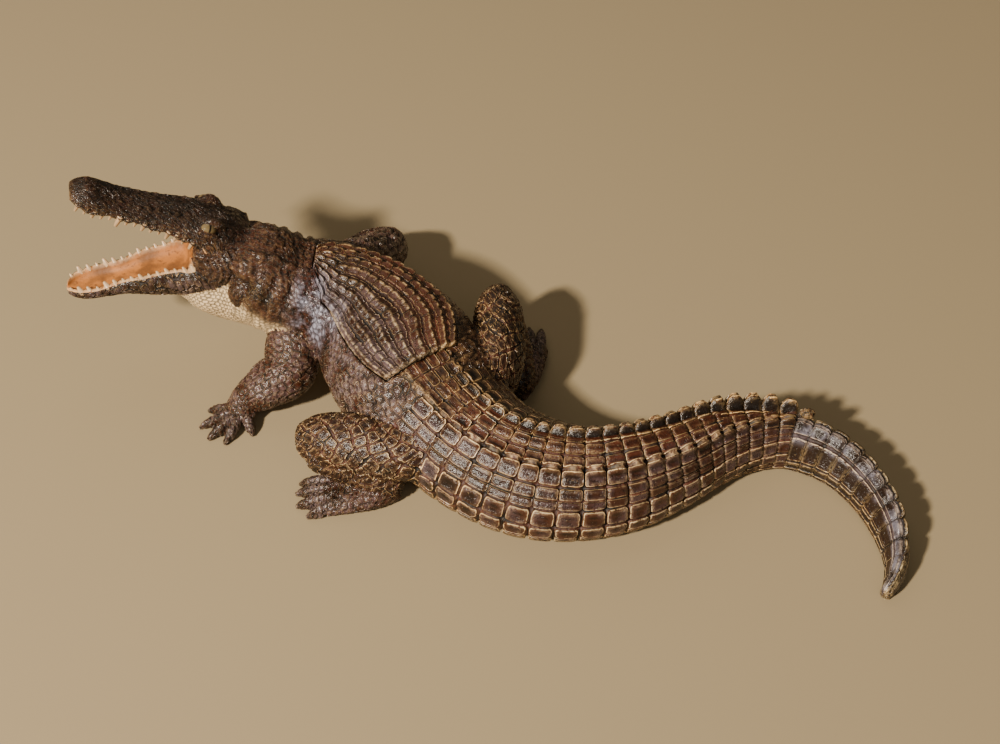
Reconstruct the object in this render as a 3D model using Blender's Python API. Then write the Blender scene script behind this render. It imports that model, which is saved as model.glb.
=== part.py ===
"""Crocodile sculpture: a hollow cast figure and the loose plate that closes its back."""
import math
import bmesh
import bpy
import numpy as np

MM = 0.001

# The figure is laid out in millimetres, nose towards -X, and moved by this much onto the origin.
SHIFT_X = 9.5
SHIFT_Y = 18.6

# Spine from the nape to the tail tip: x, y, z, half width, height above, depth below,
# roundness of the upper half, roundness of the lower half, lean of the keel in degrees.
SPINE = (
    (-90.7, 13.8, 47.0, 14.5, 9.6, 15.0, 2.2, 2.2, 0),
    (-82.6, 11.7, 40.2, 17.0, 14.4, 17.0, 2.2, 2.2, 0),
    (-71.6, 10.4, 34.0, 18.3, 14.4, 17.4, 2.2, 2.4, 0),
    (-58.7, 9.2, 30.2, 19.3, 15.6, 18.0, 2.2, 2.6, 0),
    (-46.3, 3.4, 25.0, 22.6, 18.2, 17.0, 2.2, 2.8, 0),
    (-34.8, -8.8, 20.0, 26.3, 19.6, 16.0, 2.2, 2.8, 0),
    (-25.8, -23.9, 17.5, 26.0, 20.0, 15.5, 2.2, 2.8, 0),
    (-15.8, -37.4, 15.5, 22.6, 20.0, 16.2, 1.9, 2.6, 0),
    (-3.9, -48.7, 13.5, 21.2, 21.0, 15.0, 1.7, 2.4, 0),
    (9.7, -55.6, 11.5, 21.0, 22.0, 12.9, 1.6, 2.3, 0),
    (24.1, -58.1, 10.5, 19.2, 22.0, 11.9, 1.6, 2.3, 0),
    (38.8, -56.2, 9.5, 17.0, 21.5, 10.8, 1.6, 2.3, 0),
    (53.9, -50.3, 8.5, 14.2, 20.0, 9.7, 1.6, 2.3, 0),
    (69.6, -42.2, 7.5, 11.2, 18.0, 8.6, 1.7, 2.3, 0),
    (83.4, -38.2, 7.0, 9.0, 15.5, 8.0, 1.8, 2.3, 0),
    (96.7, -38.4, 6.5, 7.4, 13.0, 7.5, 1.8, 2.3, 4),
    (110.4, -46.2, 6.0, 5.9, 11.5, 6.9, 1.8, 2.3, 9),
    (119.0, -58.0, 5.5, 4.8, 10.0, 6.3, 1.8, 2.3, 12),
    (123.6, -71.6, 5.0, 4.0, 8.5, 5.8, 1.9, 2.2, 12),
    (124.4, -83.3, 4.0, 3.2, 6.0, 4.7, 2.0, 2.2, 6),
    (121.8, -91.0, 3.0, 2.4, 4.0, 3.6, 2.0, 2.0, 0),
    (118.0, -95.3, 2.0, 1.3, 1.7, 2.3, 2.0, 2.0, 0),
)

# Whorls of plates round the tail.
RING_START = 99.0
RING_PITCH = 5.8
GROOVE_SHARE = 0.14
GROOVE_DEPTH = 0.8
FINE_END = 232.0

# The two saw-toothed crests: place along the spine, then side and height of the far and the near row.
CREST = (
    (0.0, -5.5, 0.9, 5.5, 0.9),
    (27.0, -6.5, 0.8, 6.5, 0.8),
    (33.0, -7.0, 0.0, 7.0, 0.0),
    (88.0, -7.0, 0.0, 9.0, 0.0),
    (99.0, -6.0, 1.2, 8.5, 1.2),
    (126.0, -3.0, 2.6, 9.0, 2.0),
    (150.0, -2.8, 3.6, 8.5, 2.4),
    (165.0, -4.0, 3.4, 7.5, 2.4),
    (190.0, -4.2, 4.4, 6.0, 2.4),
    (205.0, -3.4, 6.2, 4.2, 2.0),
    (219.0, -1.9, 6.2, 2.0, 1.8),
    (227.0, -0.9, 5.2, 0.9, 2.4),
    (230.5, -0.8, 0.9, 0.8, 0.9),
    (275.0, -0.7, 1.5, 0.7, 1.5),
    (290.0, -0.5, 0.5, 0.5, 0.5),
)
CREST_FOOT = 1.5
CREST_NOTCH = 0.25
NAPE_PITCH = 6.6

# The loose back plate: place along the spine, near side edge, far side edge.
PLATE_EDGE = (
    (29.5, 6.0, -5.0),
    (32.0, 10.0, -8.0),
    (37.0, 14.3, -11.0),
    (45.0, 16.0, -14.5),
    (55.0, 17.8, -17.6),
    (65.0, 18.5, -19.3),
    (73.0, 18.2, -18.3),
    (81.0, 17.0, -15.3),
    (88.0, 14.6, -11.6),
)
PLATE_PROUD_FRONT = 0.1
PLATE_PROUD_REAR = 1.1
PLATE_SUNK = 1.6
PLATE_KEEL = 0.9
PLATE_KEELS = 8
PLATE_GAP = 0.5
FIT_GAP = 0.3
LEDGE = 2.0
WALL = 3.4

# Head: the jaw joint, the turn of the head and the pitch of each jaw.
JAW_JOINT = (-93.5, 16.7, 49.0)
HEAD_YAW = 12.5
UPPER_PITCH = 30.0
LOWER_PITCH = -8.5
# Upper jaw: distance from the joint, half width, lip height, top height, roundness.
UPPER_JAW = (
    (-8.0, 8.0, -4.0, 5.5, 2.0),
    (-4.0, 10.5, -3.0, 8.3, 2.0),
    (1.0, 11.8, -1.0, 10.0, 2.0),
    (7.0, 11.5, 1.0, 10.6, 1.9),
    (12.0, 10.8, 2.2, 10.2, 1.8),
    (18.0, 9.4, 2.6, 9.4, 1.8),
    (25.0, 8.2, 2.6, 8.2, 1.9),
    (32.0, 7.6, 2.6, 7.4, 2.0),
    (38.0, 7.2, 2.4, 7.2, 2.1),
    (43.0, 7.2, 2.2, 7.6, 2.2),
    (47.0, 7.0, 1.9, 8.3, 2.2),
    (50.5, 6.0, 2.0, 8.0, 2.1),
    (53.4, 2.6, 3.2, 5.8, 2.0),
)
# Lower jaw: distance, half width of the rim, rim height, half width of the wall, underside.
LOWER_JAW = (
    (-4.0, 10.0, -3.0, 12.0, -17.0),
    (4.0, 11.5, -2.5, 13.2, -18.0),
    (12.0, 9.2, -2.5, 11.8, -17.0),
    (20.0, 7.6, -2.4, 9.6, -14.8),
    (28.0, 7.4, -2.2, 8.6, -12.2),
    (36.0, 6.0, -2.6, 7.2, -9.0),
    (44.0, 6.6, -2.8, 6.9, -7.4),
    (50.0, 5.7, -2.6, 6.0, -6.6),
    (53.5, 3.8, -2.4, 4.0, -5.6),
    (55.5, 1.5, -2.8, 1.5, -4.4),
)
LIP = 1.6
PALATE_RISE = 1.5
MOUTH_FLOOR = 2.6
# Cheek skin that joins the jaws at the corner of the mouth: distance, half width, up, down.
CHEEK = (
    (-9.0, 10.5, 5.0, -13.0),
    (-4.0, 12.4, 6.8, -15.5),
    (2.0, 12.8, 7.0, -15.5),
    (7.0, 11.9, 6.2, -13.5),
    (11.0, 10.2, 5.4, -8.6),
)
GULLET_DEPTH = 5.0
TOOTH_COUNT = 11
TOOTH_LENGTH = 1.6
TOOTH_RADIUS = 0.75
TOOTH_ROOT = 1.3
TOOTH_INSET = 0.9
FANG_SCALE = 2.0
EYE_PLACE = (8.8, 7.4, 8.1)
EYE_RADIUS = 2.0
BROW_PLACE = (7.6, 5.9, 9.7)
BROW_RADIUS = 2.9
NOSTRIL_RADIUS = 1.9
# Jowls behind the corner of the mouth and bulges of the throat: place and radii beside the jaw joint.
JOWL_PLACE = (-0.5, 9.6, -3.5)
JOWL_RADII = (8.8, 6.0, 7.6)
BULGE_PLACE = (-9.5, 14.6, -11.0)
FAR_BULGE = 10.0
BULGE_RADII = (6.2, 5.0, 7.0)
FOLD_DEPTH = 1.1
# The neck comes out narrower behind the jowls: by how much, and where it is full again.
NECK_STEP = 4.5
NECK_FULL = 14.0

# Limbs and folds of skin: x, y, z, half width, half height.
THROAT = (
    (-76.0, 11.5, 28.6, 16.0, 14.0),
    (-82.4, 13.5, 29.4, 15.0, 13.4),
    (-91.5, 13.0, 30.6, 13.0, 12.4),
    (-99.8, 12.4, 32.6, 11.0, 9.4),
    (-106.4, 12.8, 34.2, 8.0, 6.6),
    (-112.2, 12.7, 35.6, 5.0, 4.4),
)
NEAR_ARM = (
    (-65.0, 8.0, 30.0, 8.0, 9.0),
    (-69.5, -2.8, 22.0, 9.5, 9.5),
    (-72.6, -11.4, 13.5, 9.0, 8.8),
    (-80.6, -16.2, 10.2, 7.8, 7.2),
    (-86.8, -18.6, 6.6, 5.6, 5.2),
    (-89.8, -22.5, 2.8, 5.2, 3.6),
)
FAR_ARM = (
    (-54.7, 24.0, 29.0, 8.0, 9.0),
    (-46.5, 36.0, 22.0, 8.0, 8.0),
    (-41.4, 48.8, 14.8, 7.0, 7.4),
    (-49.0, 52.4, 11.4, 6.4, 6.6),
    (-59.0, 51.4, 6.6, 5.2, 5.0),
    (-66.0, 50.0, 2.8, 5.4, 3.6),
)
NEAR_THIGH = (
    (-17.0, -45.0, 16.5, 8.5, 10.0),
    (-30.6, -49.4, 17.2, 9.8, 9.6),
    (-45.0, -47.2, 17.2, 9.5, 9.5),
    (-57.5, -44.6, 16.6, 8.2, 8.6),
    (-63.5, -44.0, 15.5, 5.4, 6.0),
)
NEAR_SHIN = (
    (-61.0, -45.5, 13.5, 6.4, 6.8),
    (-50.5, -49.4, 11.0, 6.5, 6.5),
    (-39.8, -52.8, 7.5, 6.0, 6.0),
    (-33.5, -54.6, 4.4, 4.4, 4.4),
)
NEAR_FOOT = (
    (-32.0, -54.6, 3.0, 2.6, 3.0),
    (-40.8, -55.9, 3.7, 5.8, 4.2),
    (-50.6, -56.4, 2.9, 7.4, 3.8),
    (-56.0, -56.8, 2.4, 7.6, 3.2),
)
FAR_THIGH = (
    (-9.0, -28.0, 17.0, 9.0, 11.0),
    (-2.0, -17.0, 20.0, 9.0, 10.5),
    (-0.5, -6.0, 22.0, 8.8, 9.6),
    (-0.6, 7.0, 23.0, 7.8, 8.6),
    (-0.6, 14.5, 22.0, 5.4, 6.0),
)
FAR_SHIN = (
    (0.6, 12.5, 19.0, 6.2, 6.8),
    (3.6, 2.0, 12.5, 6.5, 6.5),
    (6.0, -6.3, 8.0, 6.0, 6.0),
    (7.4, -12.5, 4.4, 4.4, 4.4),
)
FAR_FOOT = (
    (7.2, -14.5, 3.0, 2.6, 3.0),
    (8.4, -6.0, 3.7, 5.2, 4.2),
    (10.2, 3.5, 2.9, 6.0, 3.8),
    (10.6, 8.5, 2.4, 6.2, 3.2),
)
# Digits: where each one leaves the foot and where its claw ends, x and y, then its half width.
DIGIT_ROOT_Z = 2.4
DIGIT_TIP_Z = 1.0
NEAR_FINGERS = (
    (-92.0, -20.0, -100.6, -19.0, 1.7),
    (-92.6, -22.5, -102.6, -26.4, 1.7),
    (-91.8, -24.8, -99.0, -31.4, 1.8),
    (-89.8, -25.6, -93.2, -33.4, 1.8),
    (-87.0, -23.0, -84.4, -29.6, 1.8),
)
FAR_FINGERS = (
    (-68.5, 52.5, -77.0, 55.5, 1.7),
    (-69.0, 51.0, -78.5, 49.0, 1.7),
    (-68.5, 49.5, -75.5, 43.0, 1.7),
    (-66.0, 48.0, -69.0, 40.5, 1.7),
)
NEAR_TOES = (
    (-56.0, -51.2, -66.0, -50.8, 1.9),
    (-56.0, -54.8, -66.8, -54.8, 2.0),
    (-56.0, -58.4, -66.2, -60.0, 2.0),
    (-55.0, -61.4, -62.4, -64.2, 1.9),
)
FAR_TOES = (
    (6.0, 6.5, 1.5, 15.0, 1.8),
    (8.2, 8.0, 5.4, 19.0, 1.9),
    (11.4, 8.5, 10.4, 20.4, 1.9),
    (14.4, 8.0, 15.0, 19.6, 1.8),
)


def chords(rows):
    """Distance along the polyline through the rows' first three values."""
    steps = np.linalg.norm(np.diff(rows[:, :3], axis=0), axis=1)
    return np.concatenate(([0.0], np.cumsum(steps)))


def through(at, rows, t):
    """Values at t on the smooth curve through the rows placed at the knots."""
    slope = np.empty_like(rows)
    slope[1:-1] = (rows[2:] - rows[:-2]) / (at[2:] - at[:-2])[:, None]
    slope[0] = (rows[1] - rows[0]) / (at[1] - at[0])
    slope[-1] = (rows[-1] - rows[-2]) / (at[-1] - at[-2])
    t = np.clip(np.atleast_1d(np.asarray(t, float)), at[0], at[-1])
    i = np.clip(np.searchsorted(at, t, side="right") - 1, 0, len(at) - 2)
    h = (at[i + 1] - at[i])[:, None]
    f = (t - at[i])[:, None] / h
    start = (2 * f**3 - 3 * f**2 + 1) * rows[i] + (f**3 - 2 * f**2 + f) * h * slope[i]
    end = (3 * f**2 - 2 * f**3) * rows[i + 1] + (f**3 - f**2) * h * slope[i + 1]
    return start + end


def straight(rows, t):
    """Values at t on straight lines between rows whose first value is the place."""
    rows = np.array(rows, float)
    columns = [np.interp(t, rows[:, 0], rows[:, k]) for k in range(1, rows.shape[1])]
    return np.stack(columns, axis=-1)


class Member:
    """A member swept along the smooth curve through its stations."""

    def __init__(self, stations):
        rows = np.array(stations, float)
        self.at = chords(rows)
        self.rows = rows
        self.length = self.at[-1]

    def frame(self, s):
        """Centre, direction to the near side, direction up and the sizes at s."""
        values = through(self.at, self.rows, s)
        ahead = through(self.at, self.rows[:, :3], np.asarray(s, float) + 0.2)
        behind = through(self.at, self.rows[:, :3], np.asarray(s, float) - 0.2)
        along = ahead - behind
        along /= np.linalg.norm(along, axis=1)[:, None]
        side = np.cross(along, (0.0, 0.0, 1.0))
        side /= np.linalg.norm(side, axis=1)[:, None]
        up = np.cross(side, along)
        return values[:, :3], side, up, values[:, 3:]


def rounded(value, power):
    """Superellipse share of a sine or cosine, keeping its sign."""
    return np.sign(value) * np.abs(value) ** (2.0 / power)


def loft(name, rings):
    """A closed body through rings of points, its two ends closed."""
    bm = bmesh.new()
    rows = [[bm.verts.new(tuple(point * MM)) for point in ring] for ring in rings]
    count = len(rows[0])
    for a, b in zip(rows[:-1], rows[1:]):
        for j in range(count):
            k = (j + 1) % count
            bm.faces.new((a[j], a[k], b[k], b[j]))
    bm.faces.new(rows[0][::-1])
    bm.faces.new(rows[-1])
    return finish(name, bm)


def finish(name, bm):
    """Turn the working mesh into a triangulated object that faces outwards."""
    bmesh.ops.remove_doubles(bm, verts=bm.verts, dist=1e-6)
    bmesh.ops.recalc_face_normals(bm, faces=bm.faces)
    bmesh.ops.triangulate(bm, faces=bm.faces)
    mesh = bpy.data.meshes.new(name)
    bm.to_mesh(mesh)
    bm.free()
    thing = bpy.data.objects.new(name, mesh)
    bpy.context.scene.collection.objects.link(thing)
    return thing


def shifted(points):
    """Move points from the layout onto the origin of the part, none below the table."""
    moved = points + np.array((SHIFT_X, SHIFT_Y, 0.0))
    moved[..., 2] = np.maximum(moved[..., 2], 0.0)
    return moved


def tube(name, stations, rings, sides):
    """A round limb through its stations."""
    member = Member(stations)
    s = np.linspace(0.0, member.length, rings)
    s = np.append(s, member.length + 0.01)
    centre, side, up, size = member.frame(s)
    ahead = centre[-2] - member.frame([member.length - 1.0])[0][0]
    centre[-1] += 0.3 * size[-1, 1] * ahead / np.linalg.norm(ahead)
    size[-1] *= 0.55
    turn = np.arange(sides) * 2.0 * math.pi / sides
    across = size[:, 0:1] * np.cos(turn)
    high = size[:, 1:2] * np.sin(turn)
    points = centre[:, None] + across[..., None] * side[:, None] + high[..., None] * up[:, None]
    return loft(name, shifted(points))


def blob(name, centre, radii, axes, divisions=2):
    """A rounded lump with its own axes."""
    bm = bmesh.new()
    bmesh.ops.create_icosphere(bm, subdivisions=divisions, radius=1.0)
    for vert in bm.verts:
        point = np.array(centre) + sum(vert.co[k] * radii[k] * axes[k] for k in range(3))
        vert.co = tuple(shifted(point) * MM)
    return finish(name, bm)


SPINE_MEMBER = Member(SPINE)


def spine_surface(s, angle, grow):
    """Points of the trunk at places s and angles from the top, grown outwards."""
    centre, side, up, size = SPINE_MEMBER.frame(s)
    lean = np.radians(size[:, 5])[:, None]
    side, up = side * np.cos(lean) + up * np.sin(lean), up * np.cos(lean) - side * np.sin(lean)
    top = np.cos(angle) >= 0.0
    power = np.where(top, size[:, 3:4], size[:, 4:5])
    height = np.where(top, size[:, 1:2], size[:, 2:3]) + grow
    across = (size[:, 0:1] + grow) * rounded(np.sin(angle), power)
    high = height * rounded(np.cos(angle), power)
    return centre[:, None] + across[..., None] * side[:, None] + high[..., None] * up[:, None]


def side_angle(s, across):
    """Angle from the top at which the trunk is that far to the side."""
    size = SPINE_MEMBER.frame(s)[3]
    share = np.clip(np.abs(across) / size[:, 0], 0.0, 0.999)
    return np.sign(across) * np.arcsin(share ** (size[:, 3] / 2.0))


def spine_places():
    """Places of the rings of points along the spine with the share of relief at each."""
    end = SPINE_MEMBER.length
    neck = []
    for k in range(4):
        start = 3.0 + k * NAPE_PITCH
        neck += [(start, 0.0), (start + 0.5 * NAPE_PITCH, 1.0)]
    trunk = [(s, 0.0) for s in np.linspace(31.0, RING_START - 5.0, 10)]
    tail = []
    count = int((end - 7.0 - RING_START) / RING_PITCH)
    for k in range(count):
        start = RING_START + k * RING_PITCH
        if start > FINE_END:
            tail += [(start, 0.0), (start + 0.6 * RING_PITCH, 1.0)]
            continue
        tail += [(start, 0.0), (start + GROOVE_SHARE * RING_PITCH, 0.85)]
        tail += [(start + (1.0 - GROOVE_SHARE) * RING_PITCH, 1.0)]
    last = RING_START + count * RING_PITCH
    tip = [(last, 0.0), (0.5 * (last + end), 0.0), (end, 0.0)]
    places = [(0.0, 0.0)] + neck + trunk + tail + tip
    return np.array([p[0] for p in places]), np.array([p[1] for p in places])


def body_sweep():
    """Neck, trunk and tail with the whorls and the crests."""
    s, relief = spine_places()
    crest = straight(CREST, s)
    groove = np.where(s >= RING_START - 0.1, (relief > 0.0) * 1.0 - 1.0, 0.0) * GROOVE_DEPTH
    taper = np.clip(SPINE_MEMBER.frame(s)[3][:, 0] / 6.0, 0.3, 1.0)
    groove *= taper
    lift = np.where(relief > 0.0, relief, CREST_NOTCH)
    columns = []
    for row, sign in ((2, 1.0), (0, -1.0)):
        across = np.abs(crest[:, row])
        height = crest[:, row + 1] * lift
        foot = np.minimum(CREST_FOOT, 0.5 * across)
        inner = np.abs(side_angle(s, across - foot))
        top = np.abs(side_angle(s, across))
        outer = np.abs(side_angle(s, across + foot))
        merged = np.clip((2.0 - across) / 1.2, 0.0, 1.0)
        rows = [(inner, height * merged), (top, height), (outer, 0.0 * height)]
        for share in (0.5, 1.0):
            rows.append((outer + (0.5 * math.pi - outer) * share, 0.0 * height))
        rows.append((np.full_like(s, 0.66 * math.pi), 0.0 * height))
        rows.append((np.full_like(s, 0.85 * math.pi), 0.0 * height))
        columns.append([(sign * angle, high) for angle, high in rows])
    merged = np.clip((2.0 - np.abs(crest[:, 0])) / 1.2, 0.0, 1.0)
    middle = [(0.0 * s, np.maximum(crest[:, 1], crest[:, 3]) * lift * merged)]
    order = middle + columns[0] + columns[1][::-1]
    angle = np.stack([a for a, h in order], axis=1)
    high = np.stack([h for a, h in order], axis=1)
    on_neck = (s < 31.0) & (relief == 0.0)
    groove[0] = -4.0
    fade = np.clip((0.8 * math.pi - np.abs(angle)) / (0.2 * math.pi), 0.0, 1.0)
    grow = groove[:, None] * fade
    beside = np.clip((np.abs(angle) - 0.12 * math.pi) / (0.16 * math.pi), 0.0, 1.0) * fade
    grow -= FOLD_DEPTH * beside * on_neck[:, None]
    low_side = np.clip((np.abs(angle) - 0.28 * math.pi) / (0.12 * math.pi), 0.0, 1.0) * fade
    grow -= NECK_STEP * low_side * np.clip(2.0 * (1.0 - s / NECK_FULL), 0.0, 1.0)[:, None]
    grow[0] = groove[0]
    points = spine_surface(s, angle, grow)
    up = SPINE_MEMBER.frame(s)[2]
    side = SPINE_MEMBER.frame(s)[1]
    lean = np.clip(crest[:, 1:2] * 0.0 + 0.35, 0.0, 1.0)
    outward = np.sign(angle) * lean
    points = points + high[..., None] * (up[:, None] + outward[..., None] * side[:, None])
    return loft("body", shifted(points))


def plate_angles(s, spare):
    """Angles of the plate's near and far edge at s, made wider by the spare."""
    edge = straight(PLATE_EDGE, s)
    near = side_angle(s, edge[:, 0] + spare)
    far = side_angle(s, edge[:, 1] - spare)
    return near, far


def plate_grid(start, end, spare, rows, columns):
    """Places and angles of a grid over the plate's field."""
    s = np.linspace(start, end, rows)
    near, far = plate_angles(np.clip(s, PLATE_EDGE[0][0], PLATE_EDGE[-1][0]), spare)
    share = np.linspace(0.0, 1.0, columns)
    return s, near[:, None] + (far - near)[:, None] * share


def slab(name, s, angle, top, bottom):
    """A curved slab over a grid of places on the trunk, its underside with fewer columns."""
    few = np.linspace(0, angle.shape[1] - 1, 5).astype(int)
    upper = shifted(spine_surface(s, angle, top))
    lower = shifted(spine_surface(s, angle[:, few], np.full((len(s), 5), bottom)))
    bm = bmesh.new()
    sheets = []
    for sheet in (upper, lower):
        sheets.append([[bm.verts.new(tuple(point * MM)) for point in row] for row in sheet])
    for grid in sheets:
        for front, back in zip(grid[:-1], grid[1:]):
            for j in range(len(front) - 1):
                bm.faces.new((front[j], front[j + 1], back[j + 1], back[j]))
    for row in (0, -1):
        bm.faces.new(sheets[0][row] + sheets[1][row][::-1])
    for column in (0, -1):
        for i in range(len(s) - 1):
            corners = (sheets[0][i], sheets[0][i + 1], sheets[1][i + 1], sheets[1][i])
            bm.faces.new([row[column] for row in corners])
    return finish(name, bm)


def back_plate():
    """The loose plate with its keeled ridges."""
    start, end = PLATE_EDGE[0][0], PLATE_EDGE[-1][0]
    columns = 2 * PLATE_KEELS + 1
    s, angle = plate_grid(start, end, 0.0, 15, columns)
    ridge = (np.arange(columns) % 2) * PLATE_KEEL
    tooth = np.where(np.arange(len(s)) % 2 == 0, 0.45, 1.0)
    proud = np.linspace(0.0, 1.0, len(s)) ** 0.6
    proud = PLATE_PROUD_FRONT + (PLATE_PROUD_REAR - PLATE_PROUD_FRONT) * proud
    top = proud[:, None] + ridge[None, :] * tooth[:, None]
    top[:, 0] = top[:, -1] = 0.6 * proud
    return slab("back_plate", s, angle, top, -PLATE_SUNK)


def plate_seat():
    """Cutter for the seat that the plate drops into."""
    start, end = PLATE_EDGE[0][0] - PLATE_GAP, PLATE_EDGE[-1][0] + PLATE_GAP
    s, angle = plate_grid(start, end, PLATE_GAP, 15, 9)
    return slab("cut_seat", s, angle, np.full_like(angle, 6.0), -(PLATE_SUNK + FIT_GAP))


def hollow():
    """Cutter for the hollow trunk, narrower where it passes the ledge under the plate."""
    start, end = PLATE_EDGE[0][0] + LEDGE + 1.0, PLATE_EDGE[-1][0] - LEDGE
    s = np.linspace(start, end, 8)
    near, far = plate_angles(s, -LEDGE)
    throat = np.linspace(0.0, 1.0, 4)
    lid = near[:, None] + (far - near)[:, None] * throat
    belly = 2.0 * math.pi + far - near
    round_ = (far[:, None] - belly[:, None] * np.linspace(0.0, 1.0, 10))
    upper = shifted(spine_surface(s, lid, np.full_like(lid, 6.0)))
    wrapped = (round_ + math.pi) % (2.0 * math.pi) - math.pi
    inner = shifted(spine_surface(s, wrapped, np.full_like(wrapped, -WALL)))
    return loft("cut_hollow", np.concatenate([upper, inner], axis=1))


def jaw_axes(pitch):
    """Forward, near-side and upward directions of a jaw."""
    yaw, tilt = math.radians(HEAD_YAW), math.radians(pitch)
    forward = np.array((-math.cos(yaw) * math.cos(tilt), -math.sin(yaw) * math.cos(tilt), math.sin(tilt)))
    side = np.cross((0.0, 0.0, 1.0), forward)
    side /= np.linalg.norm(side)
    return forward, side, np.cross(forward, side)


def jaw_point(pitch, ahead, across, high):
    """Point of the head from its distances in the frame of a jaw."""
    forward, side, up = jaw_axes(pitch)
    return np.array(JAW_JOINT) + ahead * forward + across * side + high * up


def upper_jaw():
    """Skull and snout with a hollowed palate."""
    rings = []
    turn = np.linspace(0.0, math.pi, 9)
    for ahead, half, lip, top, power in UPPER_JAW:
        across = half * rounded(np.cos(turn), power)
        high = lip + (top - lip) * rounded(np.sin(turn), power)
        inside = max(half - LIP, 0.4 * half)
        rise = min(PALATE_RISE, 0.4 * (top - lip)) if ahead > 8.0 else 0.0
        across = np.append(across, (-inside, -0.5 * inside, 0.5 * inside, inside))
        high = np.append(high, (lip, lip + rise, lip + rise, lip))
        rings.append([jaw_point(UPPER_PITCH, ahead, a, h) for a, h in zip(across, high)])
    return loft("upper_jaw", shifted(np.array(rings)))


def lower_jaw():
    """Lower jaw with the open trough of the mouth."""
    rings = []
    turn = np.linspace(0.0, math.pi, 7)
    for ahead, rim, level, wall, under in LOWER_JAW:
        middle = level + 0.3 * (under - level)
        across = wall * rounded(np.cos(turn), 2.6)
        high = middle + (under - middle) * rounded(np.sin(turn), 2.4)
        across = np.concatenate(((rim,), across, (-rim,)))
        high = np.concatenate(((level,), high, (level,)))
        inside = max(rim - LIP, 0.4 * rim)
        floor = max(level - MOUTH_FLOOR, 0.5 * (level + under))
        across = np.append(across, (-inside, -0.6 * inside, 0.6 * inside, inside))
        high = np.append(high, (level, floor, floor, level))
        rings.append([jaw_point(LOWER_PITCH, ahead, a, h) for a, h in zip(across, high)])
    return loft("lower_jaw", shifted(np.array(rings)))


def cheek():
    """Skin and muscle between the jaws behind the corner of the mouth."""
    pitch = 0.5 * (UPPER_PITCH + LOWER_PITCH)
    turn = np.arange(12) * 2.0 * math.pi / 12
    rings = []
    for ahead, half, top, under in CHEEK:
        across = half * rounded(np.cos(turn), 2.4)
        high = np.where(np.sin(turn) > 0.0, top, -under) * rounded(np.sin(turn), 2.2)
        rings.append([jaw_point(pitch, ahead, a, h) for a, h in zip(across, high)])
    return loft("cheek", shifted(np.array(rings)))


def gullet():
    """Cutter for the back of the open mouth."""
    pitch = 0.5 * (UPPER_PITCH + LOWER_PITCH)
    forward, side, up = jaw_axes(pitch)
    centre = jaw_point(pitch, CHEEK[-1][0] + 1.0, 0.0, -0.6)
    return blob("cut_gullet", centre, (GULLET_DEPTH, 7.4, 5.2), (forward, side, up))


def cone(name, foot, tip, radius, sides):
    """A pointed spike from its foot to its tip."""
    axis = tip - foot
    axis = axis / np.linalg.norm(axis)
    first = np.cross(axis, (0.3, 0.9, 0.1))
    first /= np.linalg.norm(first)
    second = np.cross(axis, first)
    turn = np.arange(sides) * 2.0 * math.pi / sides
    ring = foot + radius * (np.cos(turn)[:, None] * first + np.sin(turn)[:, None] * second)
    bm = bmesh.new()
    base = [bm.verts.new(tuple(point * MM)) for point in shifted(ring)]
    apex = bm.verts.new(tuple(shifted(tip) * MM))
    bm.faces.new(base)
    for a, b in zip(base, base[1:] + base[:1]):
        bm.faces.new((a, b, apex))
    return finish(name, bm)


def teeth():
    """Both rows of teeth of both jaws."""
    made = []
    upper = np.array(UPPER_JAW)
    lower = np.array(LOWER_JAW)
    for k in range(TOOTH_COUNT):
        share = k / (TOOTH_COUNT - 1)
        for sign in (1.0, -1.0):
            ahead = 15.5 + 34.5 * share
            across = sign * (np.interp(ahead, upper[:, 0], upper[:, 1]) - TOOTH_INSET)
            lip = np.interp(ahead, upper[:, 0], upper[:, 2])
            size = FANG_SCALE if k == TOOTH_COUNT - 6 else 1.0 - 0.25 * (k % 2)
            foot = jaw_point(UPPER_PITCH, ahead, across, lip + TOOTH_ROOT)
            tip = jaw_point(UPPER_PITCH, ahead + 0.3, across, lip - size * TOOTH_LENGTH)
            made.append(cone("tooth", foot, tip, TOOTH_RADIUS * min(size, 1.5), 4))
            ahead = 15.0 + 38.0 * share
            across = sign * (np.interp(ahead, lower[:, 0], lower[:, 1]) - TOOTH_INSET)
            rim = np.interp(ahead, lower[:, 0], lower[:, 2])
            size = 1.3 if k in (TOOTH_COUNT - 2, TOOTH_COUNT - 4) else 1.0 - 0.2 * (k % 2)
            foot = jaw_point(LOWER_PITCH, ahead, across, rim - TOOTH_ROOT)
            tip = jaw_point(LOWER_PITCH, ahead + 0.3, across, rim + size * TOOTH_LENGTH)
            made.append(cone("tooth", foot, tip, TOOTH_RADIUS * min(size, 1.2), 4))
    return made


def head_lumps():
    """Eyes, brows and nostrils."""
    forward, side, up = jaw_axes(UPPER_PITCH)
    made = []
    for sign in (1.0, -1.0):
        ahead, across, high = EYE_PLACE
        place = jaw_point(UPPER_PITCH, ahead, sign * across, high)
        made.append(blob("eye", place, (EYE_RADIUS, EYE_RADIUS, EYE_RADIUS), (forward, side, up), 1))
        ahead, across, high = BROW_PLACE
        place = jaw_point(UPPER_PITCH, ahead, sign * across, high)
        radii = (1.6 * BROW_RADIUS, 0.8 * BROW_RADIUS, 0.8 * BROW_RADIUS)
        made.append(blob("brow", place, radii, (forward, side, up), 2))
        place = jaw_point(UPPER_PITCH, 48.0, sign * 1.9, 7.2)
        radii = (NOSTRIL_RADIUS, NOSTRIL_RADIUS, 0.8 * NOSTRIL_RADIUS)
        made.append(blob("nostril", place, radii, (forward, side, up), 1))
    return made


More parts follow.
